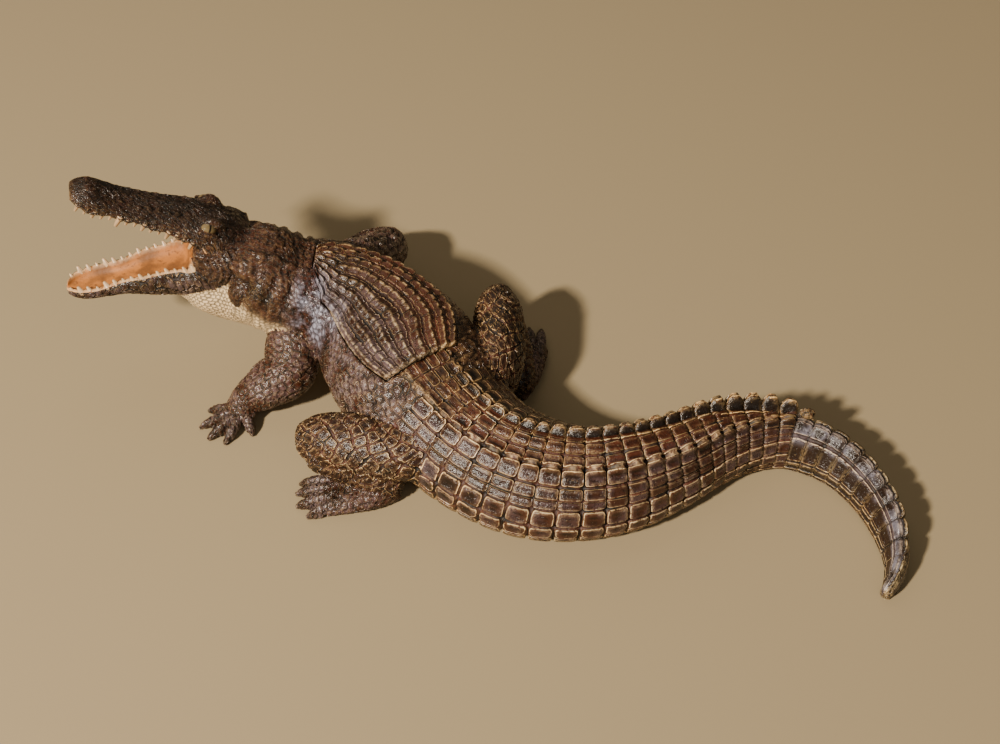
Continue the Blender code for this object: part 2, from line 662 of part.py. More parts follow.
def digits(rows):
    """Fingers or toes from the foot to the claws."""
    made = []
    for x, y, tip_x, tip_y, half in rows:
        middle = (0.6 * tip_x + 0.4 * x, 0.6 * tip_y + 0.4 * y)
        stations = (
            (x, y, DIGIT_ROOT_Z, half, 1.25 * half),
            (middle[0], middle[1], 1.6, 0.95 * half, 1.1 * half),
            (tip_x, tip_y, DIGIT_TIP_Z, 0.45 * half, 0.6 * half),
        )
        made.append(tube("digit", stations, 3, 6))
    return made


def jowls():
    """The jowl behind the mouth and the bulge of the throat on both sides."""
    made = []
    axes = jaw_axes(0.0)
    for sign in (1.0, -1.0):
        ahead, across, high = JOWL_PLACE
        made.append(blob("jowl", jaw_point(0.0, ahead, sign * across, high), JOWL_RADII, axes))
        ahead, across, high = BULGE_PLACE
        across = across if sign > 0.0 else -FAR_BULGE
        made.append(blob("bulge", jaw_point(0.0, ahead, across, high), BULGE_RADII, axes))
    return made


def boolean(target, others, operation):
    """Combine the target with all the others in one step."""
    group = bpy.data.collections.new("operands")
    for other in others:
        group.objects.link(other)
    modifier = target.modifiers.new("combine", "BOOLEAN")
    modifier.operation = operation
    modifier.operand_type = "COLLECTION"
    modifier.collection = group
    modifier.solver = "EXACT"
    graph = bpy.context.evaluated_depsgraph_get()
    graph.update()
    mesh = bpy.data.meshes.new_from_object(target.evaluated_get(graph))
    target.modifiers.clear()
    target.data = mesh
    for other in others:
        bpy.data.objects.remove(other)
    bpy.data.collections.remove(group)


def tidy(thing):
    """Weld the crumbs that the cuts leave and triangulate."""
    bm = bmesh.new()
    bm.from_mesh(thing.data)
    bmesh.ops.remove_doubles(bm, verts=bm.verts, dist=0.002 * MM)
    bmesh.ops.triangulate(bm, faces=bm.faces)
    bm.to_mesh(thing.data)
    bm.free()
    for face in thing.data.polygons:
        face.use_smooth = False


def paint(thing, name, colour, roughness, metallic):
    """Give the piece its own material."""
    material = bpy.data.materials.new(name)
    material.use_nodes = True
    shader = material.node_tree.nodes["Principled BSDF"]
    shader.inputs["Base Color"].default_value = (*colour, 1.0)
    shader.inputs["Roughness"].default_value = roughness
    shader.inputs["Metallic"].default_value = metallic
    thing.data.materials.clear()
    thing.data.materials.append(material)


def main():
    for old in list(bpy.data.objects):
        bpy.data.objects.remove(old)
    body = body_sweep()
    parts = [upper_jaw(), lower_jaw(), cheek()]
    parts.append(tube("throat", THROAT, 6, 12))
    parts.append(tube("near_arm", NEAR_ARM, 8, 10))
    parts.append(tube("far_arm", FAR_ARM, 8, 10))
    parts.append(tube("near_thigh", NEAR_THIGH, 7, 10))
    parts.append(tube("near_shin", NEAR_SHIN, 4, 10))
    parts.append(tube("near_foot", NEAR_FOOT, 4, 10))
    parts.append(tube("far_thigh", FAR_THIGH, 7, 10))
    parts.append(tube("far_shin", FAR_SHIN, 4, 10))
    parts.append(tube("far_foot", FAR_FOOT, 4, 10))
    parts += jowls() + head_lumps()
    for rows in (NEAR_FINGERS, FAR_FINGERS, NEAR_TOES, FAR_TOES):
        parts += digits(rows)
    boolean(body, parts, "UNION")
    boolean(body, [gullet()], "DIFFERENCE")
    boolean(body, teeth(), "UNION")
    boolean(body, [plate_seat()], "DIFFERENCE")
    boolean(body, [hollow()], "DIFFERENCE")
    tidy(body)
    plate = back_plate()
    body.name = "crocodile_body"
    paint(body, "hide_paint", (0.16, 0.09, 0.055), 0.38, 0.25)
    paint(plate, "plate_paint", (0.19, 0.12, 0.075), 0.36, 0.3)


main()
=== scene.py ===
"""Crocodile sculpture: fine relief, antiqued paint, stage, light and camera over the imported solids."""
import math

import bmesh
import bpy
import numpy as np
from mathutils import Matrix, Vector, kdtree


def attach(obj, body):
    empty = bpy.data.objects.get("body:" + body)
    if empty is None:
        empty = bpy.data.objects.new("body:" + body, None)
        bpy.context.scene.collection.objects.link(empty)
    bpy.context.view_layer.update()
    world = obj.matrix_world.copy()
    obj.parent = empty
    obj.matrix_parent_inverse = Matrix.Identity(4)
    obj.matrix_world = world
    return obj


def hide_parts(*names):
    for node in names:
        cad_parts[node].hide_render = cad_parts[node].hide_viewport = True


bl_info = {
    "name": "Crocodile sculpture",
    "version": (1, 0, 0),
    "blender": (4, 5, 0),
    "location": "View3D > Sidebar > Crocodile",
    "description": "Builds a cast crocodile with its loose back plate, its stage and its light",
    "category": "Object",
}

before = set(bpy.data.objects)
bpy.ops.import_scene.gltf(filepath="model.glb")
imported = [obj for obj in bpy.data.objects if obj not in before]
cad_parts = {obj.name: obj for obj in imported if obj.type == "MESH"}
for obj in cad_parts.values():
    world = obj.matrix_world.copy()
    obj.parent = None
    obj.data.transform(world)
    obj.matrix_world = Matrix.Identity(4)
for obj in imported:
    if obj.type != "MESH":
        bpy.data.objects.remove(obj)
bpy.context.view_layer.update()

MM = 0.001

# The figure is laid out in millimetres, nose towards -X, and moved by this much onto the origin.
SHIFT_X = 9.5
SHIFT_Y = 18.6

# Spine from the nape to the tail tip: x, y, z, half width, height above, depth below,
# roundness of the upper half, roundness of the lower half, lean of the keel in degrees.
SPINE = (
    (-90.7, 13.8, 47.0, 14.5, 9.6, 15.0, 2.2, 2.2, 0),
    (-82.6, 11.7, 40.2, 17.0, 14.4, 17.0, 2.2, 2.2, 0),
    (-71.6, 10.4, 34.0, 18.3, 14.4, 17.4, 2.2, 2.4, 0),
    (-58.7, 9.2, 30.2, 19.3, 15.6, 18.0, 2.2, 2.6, 0),
    (-46.3, 3.4, 25.0, 22.6, 18.2, 17.0, 2.2, 2.8, 0),
    (-34.8, -8.8, 20.0, 26.3, 19.6, 16.0, 2.2, 2.8, 0),
    (-25.8, -23.9, 17.5, 26.0, 20.0, 15.5, 2.2, 2.8, 0),
    (-15.8, -37.4, 15.5, 22.6, 20.0, 16.2, 1.9, 2.6, 0),
    (-3.9, -48.7, 13.5, 21.2, 21.0, 15.0, 1.7, 2.4, 0),
    (9.7, -55.6, 11.5, 21.0, 22.0, 12.9, 1.6, 2.3, 0),
    (24.1, -58.1, 10.5, 19.2, 22.0, 11.9, 1.6, 2.3, 0),
    (38.8, -56.2, 9.5, 17.0, 21.5, 10.8, 1.6, 2.3, 0),
    (53.9, -50.3, 8.5, 14.2, 20.0, 9.7, 1.6, 2.3, 0),
    (69.6, -42.2, 7.5, 11.2, 18.0, 8.6, 1.7, 2.3, 0),
    (83.4, -38.2, 7.0, 9.0, 15.5, 8.0, 1.8, 2.3, 0),
    (96.7, -38.4, 6.5, 7.4, 13.0, 7.5, 1.8, 2.3, 4),
    (110.4, -46.2, 6.0, 5.9, 11.5, 6.9, 1.8, 2.3, 9),
    (119.0, -58.0, 5.5, 4.8, 10.0, 6.3, 1.8, 2.3, 12),
    (123.6, -71.6, 5.0, 4.0, 8.5, 5.8, 1.9, 2.2, 12),
    (124.4, -83.3, 4.0, 3.2, 6.0, 4.7, 2.0, 2.2, 6),
    (121.8, -91.0, 3.0, 2.4, 4.0, 3.6, 2.0, 2.0, 0),
    (118.0, -95.3, 2.0, 1.3, 1.7, 2.3, 2.0, 2.0, 0),
)
RING_START = 99.0
RING_PITCH = 5.8
RING_END = 279.0

# The two crests: place along the spine, then side and height of the far and the near row.
CREST = (
    (0.0, -5.5, 0.9, 5.5, 0.9),
    (27.0, -6.5, 0.8, 6.5, 0.8),
    (33.0, -7.0, 0.0, 7.0, 0.0),
    (88.0, -7.0, 0.0, 9.0, 0.0),
    (99.0, -6.0, 1.2, 8.5, 1.2),
    (126.0, -3.0, 2.6, 9.0, 2.0),
    (150.0, -2.8, 3.6, 8.5, 2.4),
    (165.0, -4.0, 3.4, 7.5, 2.4),
    (190.0, -4.2, 4.4, 6.0, 2.4),
    (205.0, -3.4, 6.2, 4.2, 2.0),
    (219.0, -1.9, 6.2, 2.0, 1.8),
    (227.0, -0.9, 5.2, 0.9, 2.4),
    (230.5, -0.8, 0.9, 0.8, 0.9),
    (275.0, -0.7, 1.5, 0.7, 1.5),
    (290.0, -0.5, 0.5, 0.5, 0.5),
)
CREST_FOOT = 1.5
NAPE_PITCH = 6.6

# The loose back plate: place along the spine, near side edge, far side edge.
PLATE_EDGE = (
    (29.5, 6.0, -5.0),
    (32.0, 10.0, -8.0),
    (37.0, 14.3, -11.0),
    (45.0, 16.0, -14.5),
    (55.0, 17.8, -17.6),
    (65.0, 18.5, -19.3),
    (73.0, 18.2, -18.3),
    (81.0, 17.0, -15.3),
    (88.0, 14.6, -11.6),
)
PLATE_PROUD_FRONT = 0.1
PLATE_PROUD_REAR = 1.1
PLATE_SUNK = 1.6
PLATE_KEELS = 8
PLATE_ROWS = 17
# Sway of the keels, as a share of the space between two of them.
KEEL_WAVE = 0.05
PLATE_GAP = 0.5
FIT_GAP = 0.3
LEDGE = 2.0
WALL = 3.4

# Head: the jaw joint, the turn of the head and the pitch of each jaw.
JAW_JOINT = (-93.5, 16.7, 49.0)
HEAD_YAW = 12.5
UPPER_PITCH = 30.0
LOWER_PITCH = -8.5
MOUTH_PITCH = 0.5 * (UPPER_PITCH + LOWER_PITCH)
# Upper jaw: distance from the joint, half width, lip height, top height, roundness.
UPPER_JAW = (
    (-8.0, 8.0, -4.0, 5.5, 2.0),
    (-4.0, 10.5, -3.0, 8.3, 2.0),
    (1.0, 11.8, -1.0, 10.0, 2.0),
    (7.0, 11.5, 1.0, 10.6, 1.9),
    (12.0, 10.8, 2.2, 10.2, 1.8),
    (18.0, 9.4, 2.6, 9.4, 1.8),
    (25.0, 8.2, 2.6, 8.2, 1.9),
    (32.0, 7.6, 2.6, 7.4, 2.0),
    (38.0, 7.2, 2.4, 7.2, 2.1),
    (43.0, 7.2, 2.2, 7.6, 2.2),
    (47.0, 7.0, 1.9, 8.3, 2.2),
    (50.5, 6.0, 2.0, 8.0, 2.1),
    (53.4, 2.6, 3.2, 5.8, 2.0),
)
# Lower jaw: distance, half width of the rim, rim height, half width of the wall, underside.
LOWER_JAW = (
    (-4.0, 10.0, -3.0, 12.0, -17.0),
    (4.0, 11.5, -2.5, 13.2, -18.0),
    (12.0, 9.2, -2.5, 11.8, -17.0),
    (20.0, 7.6, -2.4, 9.6, -14.8),
    (28.0, 7.4, -2.2, 8.6, -12.2),
    (36.0, 6.0, -2.6, 7.2, -9.0),
    (44.0, 6.6, -2.8, 6.9, -7.4),
    (50.0, 5.7, -2.6, 6.0, -6.6),
    (53.5, 3.8, -2.4, 4.0, -5.6),
    (55.5, 1.5, -2.8, 1.5, -4.4),
)
LIP = 1.6
PALATE_RISE = 1.5
MOUTH_FLOOR = 2.6
CHEEK = (
    (-9.0, 10.5, 5.0, -13.0),
    (-4.0, 12.4, 6.8, -15.5),
    (2.0, 12.8, 7.0, -15.5),
    (7.0, 11.9, 6.2, -13.5),
    (11.0, 10.2, 5.4, -8.6),
)
# Radii of the recess at the back of the mouth.
GULLET = (5.0, 7.4, 5.2)
TOOTH_COUNT = 15
# Rows of teeth: distance of the first tooth from the joint, then the length of the row.
UPPER_TEETH = (12.5, 37.5)
LOWER_TEETH = (11.5, 41.5)
TOOTH_PITCH = UPPER_TEETH[1] / (TOOTH_COUNT - 1)
EYE_PLACE = (8.8, 7.4, 8.1)
EYE_RADIUS = 2.0
EYE_SHARES = (1.25, 1.0, 0.8)
BROW_PLACE = (7.6, 5.9, 9.7)
BROW_RADIUS = 2.9
LID_PLACE = (8.6, 8.9, 6.9)
LID_RADII = (3.4, 1.2, 1.1)
NOSTRIL_PLACE = (48.0, 1.9, 7.2)
NOSTRIL_RADIUS = 1.9
# Jowls behind the corner of the mouth and bulges of the throat: place and radii beside the jaw joint.
JOWL_PLACE = (-0.5, 9.6, -3.5)
JOWL_RADII = (8.8, 6.0, 7.6)
# Middle of the jowl's arched folds, ahead and up from its own middle.
JOWL_ARCS = (9.0, 2.0)
BULGE_PLACE = (-9.5, 14.6, -11.0)
# The far bulge lies nearer to the middle.
FAR_BULGE = 10.0
BULGE_RADII = (6.2, 5.0, 7.0)
# Fold of the throat under the near jowl: place and radii beside the jaw joint.
THROAT_FOLD = ((-5.0, 15.6, -11.6), (6.2, 5.4, 6.6))
FOLD_DEPTH = 1.1
# The neck comes out narrower behind the jowls: by how much, and where it is full again.
NECK_STEP = 4.5
NECK_FULL = 14.0

# Limbs and folds of skin: x, y, z, half width, half height.
THROAT = (
    (-76.0, 11.5, 28.6, 16.0, 14.0),
    (-82.4, 13.5, 29.4, 15.0, 13.4),
    (-91.5, 13.0, 30.6, 13.0, 12.4),
    (-99.8, 12.4, 32.6, 11.0, 9.4),
    (-106.4, 12.8, 34.2, 8.0, 6.6),
    (-112.2, 12.7, 35.6, 5.0, 4.4),
)
NEAR_ARM = (
    (-65.0, 8.0, 30.0, 8.0, 9.0),
    (-69.5, -2.8, 22.0, 9.5, 9.5),
    (-72.6, -11.4, 13.5, 9.0, 8.8),
    (-80.6, -16.2, 10.2, 7.8, 7.2),
    (-86.8, -18.6, 6.6, 5.6, 5.2),
    (-89.8, -22.5, 2.8, 5.2, 3.6),
)
FAR_ARM = (
    (-54.7, 24.0, 29.0, 8.0, 9.0),
    (-46.5, 36.0, 22.0, 8.0, 8.0),
    (-41.4, 48.8, 14.8, 7.0, 7.4),
    (-49.0, 52.4, 11.4, 6.4, 6.6),
    (-59.0, 51.4, 6.6, 5.2, 5.0),
    (-66.0, 50.0, 2.8, 5.4, 3.6),
)
NEAR_THIGH = (
    (-17.0, -45.0, 16.5, 8.5, 10.0),
    (-30.6, -49.4, 17.2, 9.8, 9.6),
    (-45.0, -47.2, 17.2, 9.5, 9.5),
    (-57.5, -44.6, 16.6, 8.2, 8.6),
    (-63.5, -44.0, 15.5, 5.4, 6.0),
)
NEAR_SHIN = (
    (-61.0, -45.5, 13.5, 6.4, 6.8),
    (-50.5, -49.4, 11.0, 6.5, 6.5),
    (-39.8, -52.8, 7.5, 6.0, 6.0),
    (-33.5, -54.6, 4.4, 4.4, 4.4),
)
NEAR_FOOT = (
    (-32.0, -54.6, 3.0, 2.6, 3.0),
    (-40.8, -55.9, 3.7, 5.8, 4.2),
    (-50.6, -56.4, 2.9, 7.4, 3.8),
    (-56.0, -56.8, 2.4, 7.6, 3.2),
)
FAR_THIGH = (
    (-9.0, -28.0, 17.0, 9.0, 11.0),
    (-2.0, -17.0, 20.0, 9.0, 10.5),
    (-0.5, -6.0, 22.0, 8.8, 9.6),
    (-0.6, 7.0, 23.0, 7.8, 8.6),
    (-0.6, 14.5, 22.0, 5.4, 6.0),
)
FAR_SHIN = (
    (0.6, 12.5, 19.0, 6.2, 6.8),
    (3.6, 2.0, 12.5, 6.5, 6.5),
    (6.0, -6.3, 8.0, 6.0, 6.0),
    (7.4, -12.5, 4.4, 4.4, 4.4),
)
FAR_FOOT = (
    (7.2, -14.5, 3.0, 2.6, 3.0),
    (8.4, -6.0, 3.7, 5.2, 4.2),
    (10.2, 3.5, 2.9, 6.0, 3.8),
    (10.6, 8.5, 2.4, 6.2, 3.2),
)
# Digits: where each one leaves the foot and where its claw ends, x and y, then its half width.
DIGITS = (
    (-92.0, -20.0, -100.6, -19.0, 1.7),
    (-92.6, -22.5, -102.6, -26.4, 1.7),
    (-91.8, -24.8, -99.0, -31.4, 1.8),
    (-89.8, -25.6, -93.2, -33.4, 1.8),
    (-87.0, -23.0, -84.4, -29.6, 1.8),
    (-68.5, 52.5, -77.0, 55.5, 1.7),
    (-69.0, 51.0, -78.5, 49.0, 1.7),
    (-68.5, 49.5, -75.5, 43.0, 1.7),
    (-66.0, 48.0, -69.0, 40.5, 1.7),
    (-56.0, -51.2, -66.0, -50.8, 1.9),
    (-56.0, -54.8, -66.8, -54.8, 2.0),
    (-56.0, -58.4, -66.2, -60.0, 2.0),
    (-55.0, -61.4, -62.4, -64.2, 1.9),
    (6.0, 6.5, 1.5, 15.0, 1.8),
    (8.2, 8.0, 5.4, 19.0, 1.9),
    (11.4, 8.5, 10.4, 20.4, 1.9),
    (14.4, 8.0, 15.0, 19.6, 1.8),
)

# Length of the ridge that each digit draws back over its foot.
TOE_RIDGE = 5.0
# Golden knob at the end of the far crest: place along the spine, height over it, radii.
KNOB = (229.5, 3.2, (2.3, 1.8, 1.7))

# Paint shares: gold on the rims, rust, cream, dark middles and, where given, a painted sheen (a painted
# reflection of light) and wash.
NET_PAINT = (0.85, 0.95, 0.0, 0.75)
ARM_PAINT = (0.78, 0.6, 0.0, 0.3, 0.25, 0.0)
THROAT_PAINT = (0.05, 0.3, 0.95, 0.1)
DIGIT_PAINT = (0.85, 0.3, 0.0, 0.3, 0.4, 0.0)
BARE = (0.0, 0.0, 0.0, 0.0)
IVORY_COLOUR = (0.62, 0.42, 0.24)
# Limbs: name, stations, step of the grid, size of a scale, whether the scales lie as diamonds, paint.
LIMBS = (
    ("throat", THROAT, 1.0, 1.4, False, THROAT_PAINT),
    ("near_arm", NEAR_ARM, 0.72, 2.3, False, ARM_PAINT),
    ("far_arm", FAR_ARM, 0.95, 2.3, False, ARM_PAINT),
    ("near_thigh", NEAR_THIGH, 0.7, 5.4, True, NET_PAINT),
    ("near_shin", NEAR_SHIN, 0.75, 3.0, False, NET_PAINT),
    ("near_foot", NEAR_FOOT, 0.75, 2.0, False, ARM_PAINT),
    ("far_thigh", FAR_THIGH, 0.75, 5.4, True, NET_PAINT),
    ("far_shin", FAR_SHIN, 0.95, 2.8, False, NET_PAINT),
    ("far_foot", FAR_FOOT, 0.95, 2.0, False, ARM_PAINT),
)

# Camera over the middle of the layout: lens and sensor in millimetres, distance in metres.
LENS = 50.0
SENSOR = 36.0
CAMERA_ELEVATION = 48.0
CAMERA_DISTANCE = 0.494
# Lights: name, place from the middle, size of the lamp, watts, colour.
LIGHTS = (
    ("key", (-0.75, -0.81, 0.9), 0.1, 39.0, (1.0, 0.9, 0.76)),
    ("fill", (-0.35, 0.8, 1.3), 1.2, 3.6, (1.0, 0.9, 0.74)),
    ("front", (0.4, -1.2, 1.2), 1.2, 2.5, (1.0, 0.95, 0.88)),
)
ROOM_COLOUR = (0.95, 0.82, 0.62)
ROOM_STRENGTH = 0.14

# Points nearer than this are one point, and skin lower than ON_TABLE is left flat, in metres.
WELD = 2e-7
ON_TABLE = 2e-4
# Members with a lower number grow softly into each other; this one's seams stay sharp.
CRISP = 20
SOFT_LUMP = 14
MOST_TRIANGLES = 200000
# Cell sizes are stored in centimetres, and a lump's cells are counted from this middle.
SPAN_UNIT = 0.1
LUMP_MIDDLE = 50.5
# Roundness of the corners of a scale, as a share of its smaller side.
CORNER = 0.18

# Slots of the body's materials.
HIDE, LINING, IVORY, EYE = range(4)
SLOTS = ("hold_hide", "hold_lining", "hold_ivory", "hold_eye")
# Pairs of values stored at the corners of every skin; the last holds the painted sheen, a painted reflection
# of light, and the wash in the hollows.
LAYERS = ("cells", "span", "wear", "tone", "form", "painted_sheen_and_wash")


class CrocodileSizes(bpy.types.PropertyGroup):
    """Sizes that change the relief."""

    groove: bpy.props.FloatProperty(
        name="Groove", description="Depth of the grooves between the tail's whorls",
        default=0.0008, min=0.0, subtype="DISTANCE", unit="LENGTH")
    scute: bpy.props.FloatProperty(
        name="Scute", description="Height of the rims of the plates",
        default=0.00055, min=0.0, subtype="DISTANCE", unit="LENGTH")
    tooth: bpy.props.FloatProperty(
        name="Tooth", description="Length of a plain tooth",
        default=0.0018, min=0.0002, subtype="DISTANCE", unit="LENGTH")
    fillet: bpy.props.FloatProperty(
        name="Fillet", description="Reach of the soft join between limbs and trunk",
        default=0.0042, min=0.0, subtype="DISTANCE", unit="LENGTH")
    keel: bpy.props.FloatProperty(
        name="Keel", description="Height of the ridges of the back plate",
        default=0.0013, min=0.0, subtype="DISTANCE", unit="LENGTH")


class CrocodileColours(bpy.types.PropertyGroup):
    """Colours of the antiqued paint, of a painted sheen that stands for reflected light, and of the floor."""

    brown: bpy.props.FloatVectorProperty(
        name="Brown", description="Ground coat of the hide", subtype="COLOR", size=3,
        default=(0.075, 0.027, 0.012))
    rust: bpy.props.FloatVectorProperty(
        name="Rust", description="Wash that lies in the grooves", subtype="COLOR", size=3,
        default=(0.12, 0.028, 0.01))
    dark: bpy.props.FloatVectorProperty(
        name="Dark", description="Green-black in the middle of the plates", subtype="COLOR", size=3,
        default=(0.011, 0.007, 0.0045))
    gold: bpy.props.FloatVectorProperty(
        name="Gold", description="Dry-brushed rims", subtype="COLOR", size=3,
        default=(1.0, 0.64, 0.28))
    cream: bpy.props.FloatVectorProperty(
        name="Cream", description="Throat and underside", subtype="COLOR", size=3,
        default=(0.88, 0.64, 0.36))
    mouth: bpy.props.FloatVectorProperty(
        name="Mouth", description="Lining of the mouth", subtype="COLOR", size=3,
        default=(0.46, 0.165, 0.032))
    # Painted sheen: a painted lilac-grey reflection of light on shoulder, flank, arms, plate and tail end.
    painted_sheen: bpy.props.FloatVectorProperty(
        name="Cool", description="Lilac grey sheen of shoulder, flank and tail end", subtype="COLOR", size=3,
        default=(0.29, 0.28, 0.35))
    floor: bpy.props.FloatVectorProperty(
        name="Floor", description="Paper under the figure", subtype="COLOR", size=3,
        default=(0.335, 0.257, 0.148))


def sizes():
    """The sizes as they stand in the scene."""
    return bpy.context.scene.crocodile_sizes


def colours():
    """The colours as they stand in the scene."""
    return bpy.context.scene.crocodile_colours


def through(at, rows, t):
    """Values at t on the smooth curve through the rows placed at the knots."""
    slope = np.empty_like(rows)
    slope[1:-1] = (rows[2:] - rows[:-2]) / (at[2:] - at[:-2])[:, None]
    slope[0] = (rows[1] - rows[0]) / (at[1] - at[0])
    slope[-1] = (rows[-1] - rows[-2]) / (at[-1] - at[-2])
    t = np.clip(np.atleast_1d(np.asarray(t, float)), at[0], at[-1])
    i = np.clip(np.searchsorted(at, t, side="right") - 1, 0, len(at) - 2)
    h = (at[i + 1] - at[i])[:, None]
    f = (t - at[i])[:, None] / h
    start = (2 * f**3 - 3 * f**2 + 1) * rows[i] + (f**3 - 2 * f**2 + f) * h * slope[i]
    end = (3 * f**2 - 2 * f**3) * rows[i + 1] + (f**3 - f**2) * h * slope[i + 1]
    return start + end


def straight(rows, t):
    """Values at t on straight lines between rows whose first value is the place."""
    rows = np.array(rows, float)
    return np.stack([np.interp(t, rows[:, 0], rows[:, k]) for k in range(1, rows.shape[1])], axis=-1)


def smooth_step(low, high, value):
    """0 below low, 1 above high, smooth between."""
    share = np.clip((value - low) / (high - low), 0.0, 1.0)
    return share * share * (3.0 - 2.0 * share)


def rounded(value, power):
    """Superellipse share of a sine or cosine, keeping its sign."""
    return np.sign(value) * np.abs(value) ** (2.0 / power)


class Member:
    """A member swept along the smooth curve through its stations."""

    def __init__(self, stations):
        rows = np.array(stations, float)
        steps = np.linalg.norm(np.diff(rows[:, :3], axis=0), axis=1)
        self.at = np.concatenate(([0.0], np.cumsum(steps)))
        self.rows = rows
        self.length = self.at[-1]

    def frame(self, s):
        """Centre, direction to the near side, direction up and the sizes at s."""
        values = through(self.at, self.rows, s)
        ahead = through(self.at, self.rows[:, :3], np.asarray(s, float) + 0.2)
        behind = through(self.at, self.rows[:, :3], np.asarray(s, float) - 0.2)
        along = ahead - behind
        along /= np.linalg.norm(along, axis=1)[:, None]
        side = np.cross(along, (0.0, 0.0, 1.0))
        side /= np.linalg.norm(side, axis=1)[:, None]
        return values[:, :3], side, np.cross(side, along), values[:, 3:]


SPINE_MEMBER = Member(SPINE)


def spine_point(s, angle, grow):
    """Points of the trunk at places s and angles from the top, grown outwards."""
    centre, side, up, size = SPINE_MEMBER.frame(s)
    lean = np.radians(size[:, 5])[:, None]
    side, up = side * np.cos(lean) + up * np.sin(lean), up * np.cos(lean) - side * np.sin(lean)
    top = np.cos(angle) >= 0.0
    power = np.where(top, size[:, 3], size[:, 4])
    height = np.where(top, size[:, 1], size[:, 2]) + grow
    across = (size[:, 0] + grow) * rounded(np.sin(angle), power)
    high = height * rounded(np.cos(angle), power)
    return centre + across[:, None] * side + high[:, None] * up, side, up


def side_angle(s, across):
    """Angle from the top at which the trunk is that far to the side."""
    size = SPINE_MEMBER.frame(s)[3]
    share = np.clip(np.abs(across) / size[:, 0], 0.0, 0.999)
    return np.sign(across) * np.arcsin(share ** (size[:, 3] / 2.0))


def shifted(points):
    """Move points from the layout onto the origin of the part, none below the table."""
    moved = points + np.array((SHIFT_X, SHIFT_Y, 0.0))
    moved[..., 2] = np.maximum(moved[..., 2], 0.0)
    return moved


def read(items, name, width=1, kind=np.float32):
    """One property of all the items, in rows when it has several values."""
    values = np.empty(len(items) * width, kind)
    items.foreach_get(name, values)
    return values.reshape(-1, width) if width > 1 else values


def write_points(mesh, points):
    """Put the vertices of the mesh at the points, in metres."""
    mesh.vertices.foreach_set("co", points.astype(np.float32).ravel())


def write_uv(mesh, name, values):
    """Store a pair of values at every corner of the mesh."""
    layer = mesh.uv_layers.get(name) or mesh.uv_layers.new(name=name)
    layer.data.foreach_set("uv", np.ascontiguousarray(values, np.float32).ravel())


def read_uv(mesh, name):
    """The pair of values at every corner of the mesh."""
    return read(mesh.uv_layers[name].data, "uv", 2).astype(float)


def mark(mesh, slot, member):
    """Give the faces of the mesh their material slot and the number of their member."""
    count = len(mesh.polygons)
    mesh.polygons.foreach_set("material_index", np.broadcast_to(slot, count).astype(np.int32))
    tag = mesh.attributes.new("member", "INT", "FACE")
    tag.data.foreach_set("value", np.full(count, member, np.int32))


def columns(like, *values):
    """The values side by side, each spread over as many rows as like has."""
    return np.stack([value + 0.0 * like for value in values], axis=1)


def settle(bm, mesh):
    """Write the bmesh to the mesh and free it."""
    bm.to_mesh(mesh)
    bm.free()
    return mesh


def face_outwards(bm):
    """Turn the faces of a closed skin outwards."""
    bmesh.ops.recalc_face_normals(bm, faces=bm.faces)
    if bm.calc_volume(signed=True) < 0.0:
        bmesh.ops.reverse_faces(bm, faces=bm.faces)


def split_large_faces(bm):
    """Cut the faces of more than four corners into triangles."""
    bmesh.ops.triangulate(bm, faces=[face for face in bm.faces if len(face.verts) > 4])


def put(name, data):
    """A new object of the data in the scene."""
    thing = bpy.data.objects.new(name, data)
    bpy.context.scene.collection.objects.link(thing)
    return thing


def weld(name, mesh):
    """Close seams and poles, face the skin outwards and put it in the scene."""
    bm = bmesh.new()
    bm.from_mesh(mesh)
    bmesh.ops.remove_doubles(bm, verts=bm.verts, dist=WELD)
    face_outwards(bm)
    settle(bm, mesh)
    for slot in SLOTS:
        mesh.materials.append(bpy.data.materials.get(slot) or bpy.data.materials.new(slot))
    return put(name, mesh)


def skin(name, along, around, place, dress, member, closed=True):
    """A closed skin: a grid placed by its shares along and around, then welded.

    place(u, v) gives points; dress(u, v, face_u, face_v) gives for each corner its cell
    coordinates, its cell size, four or six paint shares, its stagger and brush, and its slot."""
    bm = bmesh.new()
    bm.loops.layers.uv.new("cells")
    bmesh.ops.create_grid(bm, x_segments=along, y_segments=around, size=0.5, calc_uvs=True)
    mesh = settle(bm, bpy.data.meshes.new(name))
    grid = read(mesh.vertices, "co", 3).astype(float) + 0.5
    u = np.round(grid[:, 0] * along) / along
    v = np.round(grid[:, 1] * around) / around
    points = place(u, v)
    if closed:
        for edge in (0.0, 1.0):
            ring = np.abs(u - edge) < 1e-5
            points[ring] = points[ring].mean(axis=0)
    write_points(mesh, shifted(points) * MM)
    corner = read(mesh.loops, "vertex_index", kind=np.int32).reshape(-1, 4)
    face_u = np.repeat(u[corner].mean(axis=1), 4)
    face_v = np.repeat(v[corner].mean(axis=1), 4)
    corner = corner.ravel()
    cells, span, paint, form, slot = dress(u[corner], v[corner], face_u, face_v)
    write_uv(mesh, "form", form)
    write_uv(mesh, "cells", cells)
    write_uv(mesh, "span", span * SPAN_UNIT)
    write_uv(mesh, "wear", paint[:, :2])
    write_uv(mesh, "tone", paint[:, 2:4])
    write_uv(mesh, "painted_sheen_and_wash", paint[:, 4:6] if paint.shape[1] > 4 else np.zeros((len(corner), 2)))
    mark(mesh, slot[::4], member)
    return weld(name, mesh)


def spread(pairs, share):
    """Value at each share on the polyline through (share, values) pairs, values may be arrays."""
    share = np.asarray(share, float)
    out = np.zeros_like(share)
    for (a, low), (b, high) in zip(pairs[:-1], pairs[1:]):
        inside = (share >= a) & (share <= b)
        value = low + (high - low) * (share - a) / (b - a)
        out = np.where(inside, value, out)
    return out


# Trunk and tail.

TRUNK_ROWS = 84
RING_ROWS = 7
RING_COUNT = int(round((RING_END - RING_START) / RING_PITCH))
TAIL_ROWS = RING_ROWS * RING_COUNT
TIP_ROWS = 12
SPINE_ROWS = TRUNK_ROWS + TAIL_ROWS + TIP_ROWS
